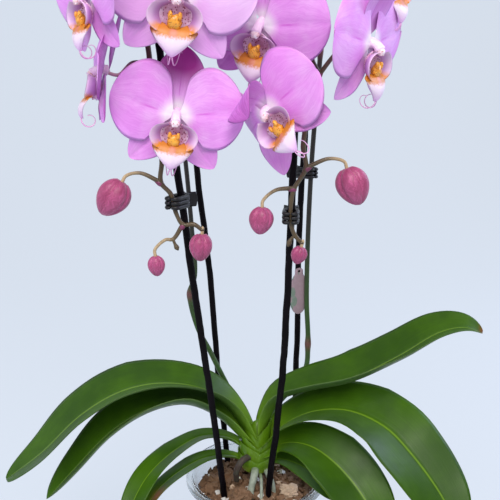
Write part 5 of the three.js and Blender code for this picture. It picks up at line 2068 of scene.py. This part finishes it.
@dataclass
class Tag:
    """The oval card that hangs on the back leg, with a hole at its top."""

    width: float = 17.5
    length: float = 45.0
    thickness: float = 0.8
    turn: float = 0.25

    def build(self) -> None:
        """Shapes the card, punches its hole and dresses it."""
        low, high = (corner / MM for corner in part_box("tag"))
        middle = (low + high) / 2
        top = high.z

        def place(along: float, across: float) -> Vector:
            """A point of its front."""
            down = along * (self.length - 1)
            oval = abs(2 * (along - 0.1) / 0.9 - 1)
            wide = math.sqrt(max(0.0, 1 - oval**2.5)) if along > 0.1 else 0.0
            dome = math.sqrt(max(0.0, 1 - (1 - min(1.0, along / 0.06)) ** 2))
            neck = 0.45 * dome * (1 - ramp(0.3, 0.5, along))
            half = 0.5 * self.width * max(wide, neck)
            bow = 0.7 * math.sin(math.pi * along)
            return Vector((across * max(0.4, half), -bow, -down))

        form = Shape()
        form.blade(place, self.thickness, 40, 14, slots=(0, 0))
        matrix = Matrix.Translation((middle.x, middle.y, top - 0.3)) @ Matrix.Rotation(self.turn, 4, "Z")
        card = form.moved(matrix).build("plant_tag", [CARD.material()])
        punch = Shape()
        bar = [(0.1, -4), (1.2, -4), (1.2, 4), (0.1, 4)]
        drill = matrix @ Matrix.Translation((0, 0, -3.0)) @ Matrix.Rotation(math.pi / 2, 4, "X")
        punch.lathe(bar, 16, drill)
        cutter = punch.build("punch", [])
        cut(card, cutter)
        settle(card, "card", "tag")


# ---- Studio ----


@dataclass
class Studio:
    """A pale sweep, soft lights and the camera, in metres."""

    eye: tuple[float, float, float] = (-0.005, -0.527, 0.437)
    tilt: float = 13.2
    lens: float = 46.8
    near: float = 1.1
    bend_start: float = 0.95
    bend_radius: float = 0.85
    height: float = 2.2
    half_width: float = 2.6
    glow: float = 0.78
    sky: float = 0.46
    ground: Colour = field(default_factory=lambda: shade("6c727a"))
    paper: Colour = field(default_factory=lambda: shade("dfe7f2"))

    def camera(self) -> None:
        """Makes the camera and sets it on the scene."""
        data = bpy.data.cameras.new("camera")
        data.lens = self.lens
        data.sensor_width = 36.0
        data.clip_start = 0.02
        camera = bpy.data.objects.new("camera", data)
        camera.location = self.eye
        camera.rotation_euler = (math.radians(90 - self.tilt), 0, 0)
        bpy.context.scene.collection.objects.link(camera)
        bpy.context.scene.camera = camera

    def sweep_finish(self) -> bpy.types.Material:
        """Plain pale paper that glows a little."""
        material = bpy.data.materials.new("paper_sweep")
        material.use_nodes = True
        shader = material.node_tree.nodes["Principled BSDF"]
        shader.inputs["Base Color"].default_value = self.ground
        shader.inputs["Emission Color"].default_value = self.paper
        shader.inputs["Roughness"].default_value = 0.9
        shader.inputs["Specular IOR Level"].default_value = 0.1
        shader.inputs["Emission Strength"].default_value = self.glow
        return material

    def sweep(self) -> None:
        """Makes the floor that bends up into the wall."""
        profile = [(-self.near - 1.5, 0.0), (0.0, 0.0), (0.5, 0.0)]
        for k in range(25):
            a = 0.5 * math.pi * k / 24
            y = self.bend_start + self.bend_radius * math.sin(a)
            profile.append((y, self.bend_radius * (1 - math.cos(a))))
        profile.append((self.bend_start + self.bend_radius, self.height))
        mesh = bpy.data.meshes.new("paper_sweep")
        points = [(x, y, z - 0.0005) for y, z in profile for x in (-self.half_width, self.half_width)]
        faces = [(2 * k, 2 * k + 1, 2 * k + 3, 2 * k + 2) for k in range(len(profile) - 1)]
        mesh.from_pydata(points, [], faces)
        mesh.polygons.foreach_set("use_smooth", [True] * len(faces))
        mesh.materials.append(self.sweep_finish())
        piece = bpy.data.objects.new("paper_sweep", mesh)
        bpy.context.scene.collection.objects.link(piece)
        piece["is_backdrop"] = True

    def light(self, name: str, place: Vector, size: float, power: float, tint: Colour) -> None:
        """Adds a soft square light that looks at the plant."""
        data = bpy.data.lights.new(name, "AREA")
        data.size = size
        data.energy = power
        data.color = tint[:3]
        lamp = bpy.data.objects.new(name, data)
        lamp.location = place
        lamp.rotation_euler = (Vector((0, 0, 0.33)) - place).to_track_quat("-Z", "Y").to_euler()
        bpy.context.scene.collection.objects.link(lamp)

    def world(self) -> None:
        """An even pale sky."""
        world = bpy.data.worlds.new("studio")
        world.use_nodes = True
        world.node_tree.nodes["Background"].inputs["Color"].default_value = shade("e9eff8")
        world.node_tree.nodes["Background"].inputs["Strength"].default_value = self.sky
        bpy.context.scene.world = world

    def build(self) -> None:
        """Sets the studio up."""
        self.camera()
        self.sweep()
        self.world()
        self.light("key", Vector((0.0, -0.85, 1.2)), 0.7, 13.2, shade("fffaf4"))
        self.light("rim", Vector((1.1, 0.35, 0.9)), 0.7, 8.5, shade("cfdcff"))
        self.light("fill", Vector((-1.2, -0.5, 0.8)), 0.9, 4.4, shade("e6edff"))
        bpy.context.scene.view_settings.view_transform = "Standard"


def write_size() -> None:
    """Works out the frame's box and the finished model's box as plain lists."""
    rows = {"cad": CAD_BOX, "visual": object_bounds()}
    plain = {key: [list(corner) for corner in box] for key, box in rows.items()}


def main() -> None:
    """Builds the studio and the plant, piece by piece."""
    logging.basicConfig(level=logging.INFO, format="%(message)s")
    Studio().build()
    pot = NurseryPot()
    pot.build()
    BarkBed(pot).build()
    Crown().build()
    Roots().build()
    for leaf in LEAVES:
        leaf.build()
    for side in Side:
        Hoop(side).build()
    left_tip = ((-7.5, 0, -11), (-6, 0, -15), (-4, 0, -19))
    Spike(Side.LEFT, (5, 9), 20, left_tip).build()
    Spike(Side.RIGHT, (3, 7), 20, ((0, 0, 0), (-3, 0, -3), (-5, 0, -8))).build()
    for blossom in BLOSSOMS:
        blossom.build()
    for bud in BUDS:
        bud.build()
    for clip in CLIPS:
        clip.build()
    Tag().build()
    write_size()


if __name__ == "__main__":
    main()
